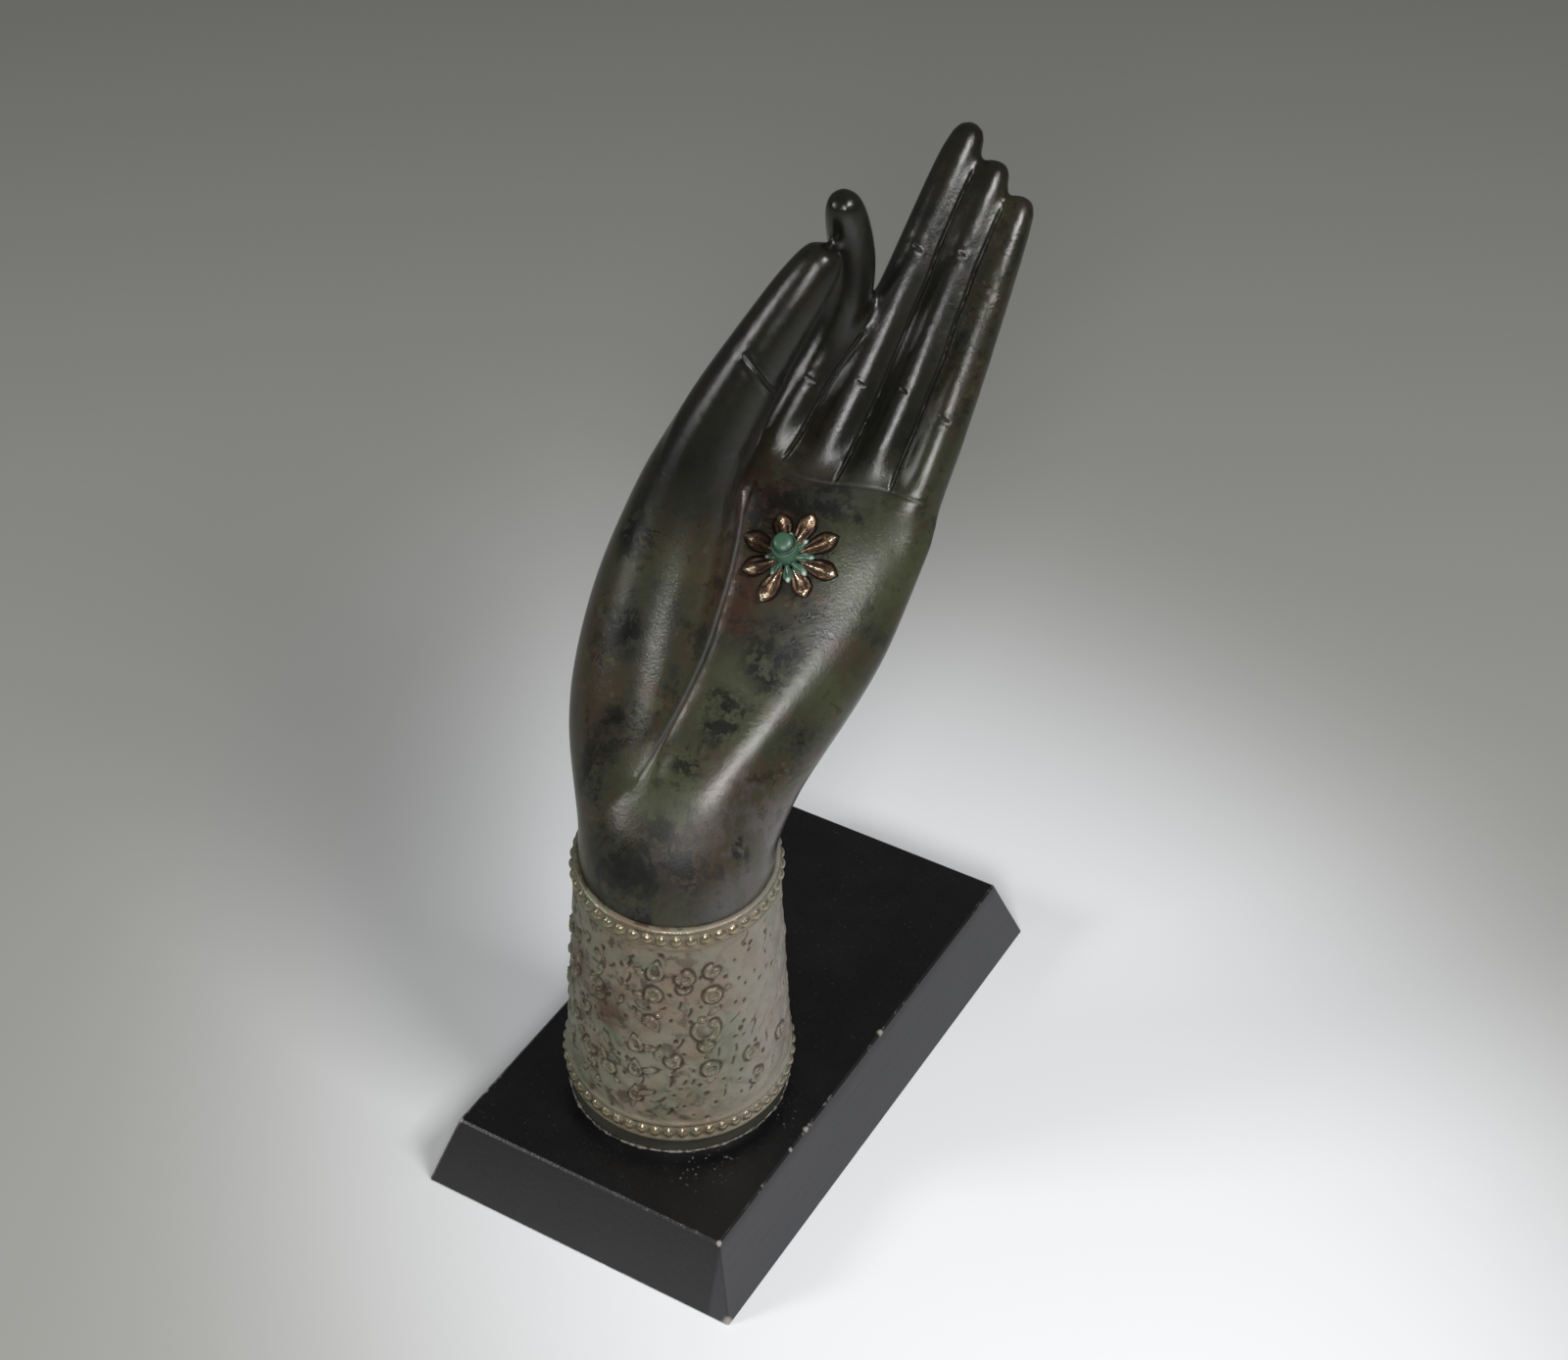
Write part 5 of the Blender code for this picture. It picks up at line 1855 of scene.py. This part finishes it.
    def knob(self, bm: bmesh.types.BMesh, layers: tuple[Layer, Layer]) -> None:
        """Turn the knob from its profile and lean it along the hand.

        Args:
            bm: the mesh that takes it.
            layers: the relief and hollow layers.
        """
        line = [bm.verts.new((0.0, 0.0, 0.0))]
        line += [bm.verts.new((radius, 0.0, height)) for radius, height in self.profile]
        edges = [bm.edges.new(pair) for pair in zip(line, line[1:])]
        bmesh.ops.spin(bm, geom=line + edges, cent=(0.0, 0.0, 0.0), axis=UP,
                       angle=2.0 * math.pi, steps=self.knob_steps, use_merge=True)
        knob = [vertex for vertex in bm.verts if vertex.co.length < self.knob_within]
        seat = self.palm.height(self.across, self.along) + self.boss_sink + self.tilt_from
        tilt = Matrix.Rotation(self.boss_tilt, 3, "X")
        for vertex in knob:
            x, y, rise = vertex.co
            groove = bell(math.hypot(x, y) - self.groove_radius, self.groove_width)
            groove *= float(rise > self.groove_above)
            vertex[layers[0]] = 0.35 * (1.0 - groove)
            vertex[layers[1]] = groove
            level = Vector((x, y, rise - self.tilt_from))
            place = level.lerp(tilt @ level, min(rise / self.tilt_from, 1.0))
            place += Vector((self.across, self.along, seat))
            place += Vector((self.boss_across, self.boss_along, 0.0)) * (rise / self.knob_height)
            vertex.co = self.palm.frame @ place
        bmesh.ops.remove_doubles(bm, verts=knob, dist=MERGE_DISTANCE)


@dataclass
class GlueLine:
    """The ragged line of old glue where the casting stands on the plinth."""

    sleeve: Sleeve
    thickness: float = 0.0008
    inner: float = 0.0002
    flatness: float = 0.8
    lowest: float = 0.00004
    section_sides: int = 8
    steps: int = 180
    waves: tuple[tuple[float, float], ...] = ((17.0, 0.0), (41.0, 1.0), (73.0, 0.0))

    def build(self) -> bpy.types.Object:
        """Build the ring of glue.

        Returns:
            The new piece.
        """
        bm = bmesh.new()
        radius = self.sleeve.foot_radius
        section = bmesh.ops.create_circle(bm, segments=self.section_sides,
                                          radius=self.thickness)["verts"]
        bmesh.ops.rotate(bm, verts=section, matrix=Matrix.Rotation(math.radians(90.0), 3, "X"))
        bmesh.ops.translate(bm, verts=section, vec=(radius, 0.0, 0.0))
        bmesh.ops.spin(bm, geom=section + list(bm.edges), cent=(0.0, 0.0, 0.0), axis=UP,
                       angle=2.0 * math.pi, steps=self.steps, use_merge=True)
        for vertex in bm.verts:
            angle = math.atan2(vertex.co.y, vertex.co.x)
            out = math.hypot(vertex.co.x, vertex.co.y) - radius
            swell = 0.75 + 0.18 * sum(math.sin(angle * n + phase) for n, phase in self.waves)
            reach = radius + max(out, -self.inner) * swell + self.inner
            vertex.co.x = math.cos(angle) * reach
            vertex.co.y = math.sin(angle) * reach
            vertex.co.z = max(vertex.co.z, self.lowest) * swell * self.flatness
        bmesh.ops.translate(bm, verts=bm.verts, vec=self.sleeve.foot)
        bmesh.ops.remove_doubles(bm, verts=bm.verts, dist=MERGE_DISTANCE / 2.0)
        bmesh.ops.recalc_face_normals(bm, faces=bm.faces)
        return link_piece("foot_glue", bm, OldGlue().material())


@dataclass(frozen=True)
class Softbox:
    """A rectangular studio lamp: where it hangs, its size and its power."""

    name: str
    place: Place
    width: float
    height: float
    power: float


@dataclass(frozen=True)
class Studio:
    """The floor, the lamps and the camera."""

    target: Place = (0.0, 0.0, 0.15)
    lamps: tuple[Softbox, ...] = (
        Softbox("front box", (0.495, -0.971, 0.858), 0.30, 0.27, 7.2),
        Softbox("right box", (0.87, -0.16, 1.10), 0.40, 0.36, 10.6),
        Softbox("left box", (-0.83, -0.77, 0.77), 0.30, 0.36, 4.4),
    )
    world_strength: float = 0.11
    floor_half_size: float = 8.0
    # painted light: a pool of light painted into the floor's colour, with its middle, radii, turn
    # and falloff, and the colours outside and inside it
    painted_pool_middle: tuple[float, float] = (0.105, -0.008)
    painted_pool_radii: tuple[float, float] = (0.350, 0.214)
    painted_pool_turn: float = 2.54
    painted_pool_falloff: float = 3.6
    floor_outside_painted_pool: Colour = (0.376, 0.376, 0.353)
    floor_inside_painted_pool: Colour = (0.936, 0.946, 0.966)
    camera_place: Place = (0.334576, -0.534883, 0.678222)
    camera_azimuth: float = math.radians(30.639)
    camera_elevation: float = math.radians(39.041)
    lens: float = 60.08
    sensor: float = 36.0
    clip: tuple[float, float] = (0.01, 50.0)

    def light(self) -> None:
        """Hang the lamps and set the world's plain light."""
        for box in self.lamps:
            data = bpy.data.lights.new(box.name, "AREA")
            data.shape = "RECTANGLE"
            data.size = box.width
            data.size_y = box.height
            data.energy = box.power
            lamp = stand(box.name, data)
            lamp.location = box.place
            aim = Vector(box.place) - Vector(self.target)
            lamp.rotation_euler = aim.to_track_quat("Z", "Y").to_euler()
        world = bpy.data.worlds.new("studio")
        world.use_nodes = True
        light = world.node_tree.nodes["Background"].inputs
        light["Strength"].default_value = self.world_strength
        light["Color"].default_value = (1.0, 1.0, 1.0, 1.0)
        bpy.context.scene.world = world

    def floor(self) -> None:
        """Lay the pale floor, with a pool of light painted into its colour: grey far off, near
        white inside an elliptical pool.
        """
        bm = bmesh.new()
        bmesh.ops.create_grid(bm, x_segments=1, y_segments=1, size=self.floor_half_size)
        mesh = bpy.data.meshes.new("floor")
        bm.to_mesh(mesh)
        bm.free()
        s = Shader("floor_with_painted_light_pool")
        # painted light: the floor's colour brightens towards the middle of an elliptical pool
        inputs = {"Vector": s.place, "Location": (*self.painted_pool_middle, 0.0),
                  "Rotation": (0.0, 0.0, self.painted_pool_turn), "Scale": (*self.painted_pool_radii, 1.0)}
        pool = s.node("ShaderNodeMapping", inputs, vector_type="TEXTURE").outputs["Vector"]
        length = s.node("ShaderNodeVectorMath", {0: pool}, operation="LENGTH").outputs["Value"]
        fall = s.math("POWER", length, self.painted_pool_falloff)
        close = s.math("EXPONENT", s.times(fall, -1.0))
        colour = s.mix(close, self.floor_outside_painted_pool, self.floor_inside_painted_pool)
        s.set(Base_Color=colour, Roughness=0.9, Specular_IOR_Level=0.0)
        mesh.materials.append(s.material)
        stand("floor", mesh)

    def camera(self) -> None:
        """Set the camera at the photograph's viewpoint."""
        data = bpy.data.cameras.new("camera")
        data.lens = self.lens
        data.sensor_width = self.sensor
        data.clip_start, data.clip_end = self.clip
        camera = stand("camera", data)
        azimuth, elevation = self.camera_azimuth, self.camera_elevation
        back = Vector((
            math.sin(azimuth) * math.cos(elevation),
            -math.cos(azimuth) * math.cos(elevation),
            math.sin(elevation),
        ))
        camera.location = self.camera_place
        camera.rotation_euler = back.to_track_quat("Z", "Y").to_euler()
        bpy.context.scene.camera = camera

    def build(self) -> None:
        """Set up the whole studio."""
        self.light()
        self.floor()
        self.camera()
        bpy.context.scene.view_settings.view_transform = "Standard"


def main() -> None:
    """Build the studio and dress every piece of the figurine."""
    logging.basicConfig(level=logging.INFO, format="%(name)s: %(message)s")
    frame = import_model()
    nodes = frame["nodes"]
    Studio().build()
    directions = HandDirections()
    sleeve = Sleeve()
    hand = CastHand(directions, sleeve).build(nodes["hand"])
    LOG.info("cast hand: %d faces", len(hand.data.polygons))
    cuff = Cuff(sleeve).build()
    LOG.info("cuff: %d faces", len(cuff.data.polygons))
    rosette = Rosette(Palm(hand, directions))
    petals = rosette.gilt_petals()
    boss = rosette.boss()
    LOG.info("rosette: %d and %d faces", len(petals.data.polygons), len(boss.data.polygons))
    glue = GlueLine(sleeve).build()
    LOG.info("glue line: %d faces", len(glue.data.polygons))
    dress(nodes["plinth"], BlackPaint().material())
    dress(nodes["fixing_screw"], PlainSteel("screw_steel").material())
    dress(nodes["washer"], PlainSteel("washer_zinc", (0.55, 0.56, 0.58)).material())
    LOG.info("plinth, screw and washer dressed")


if __name__ == "__main__":
    main()
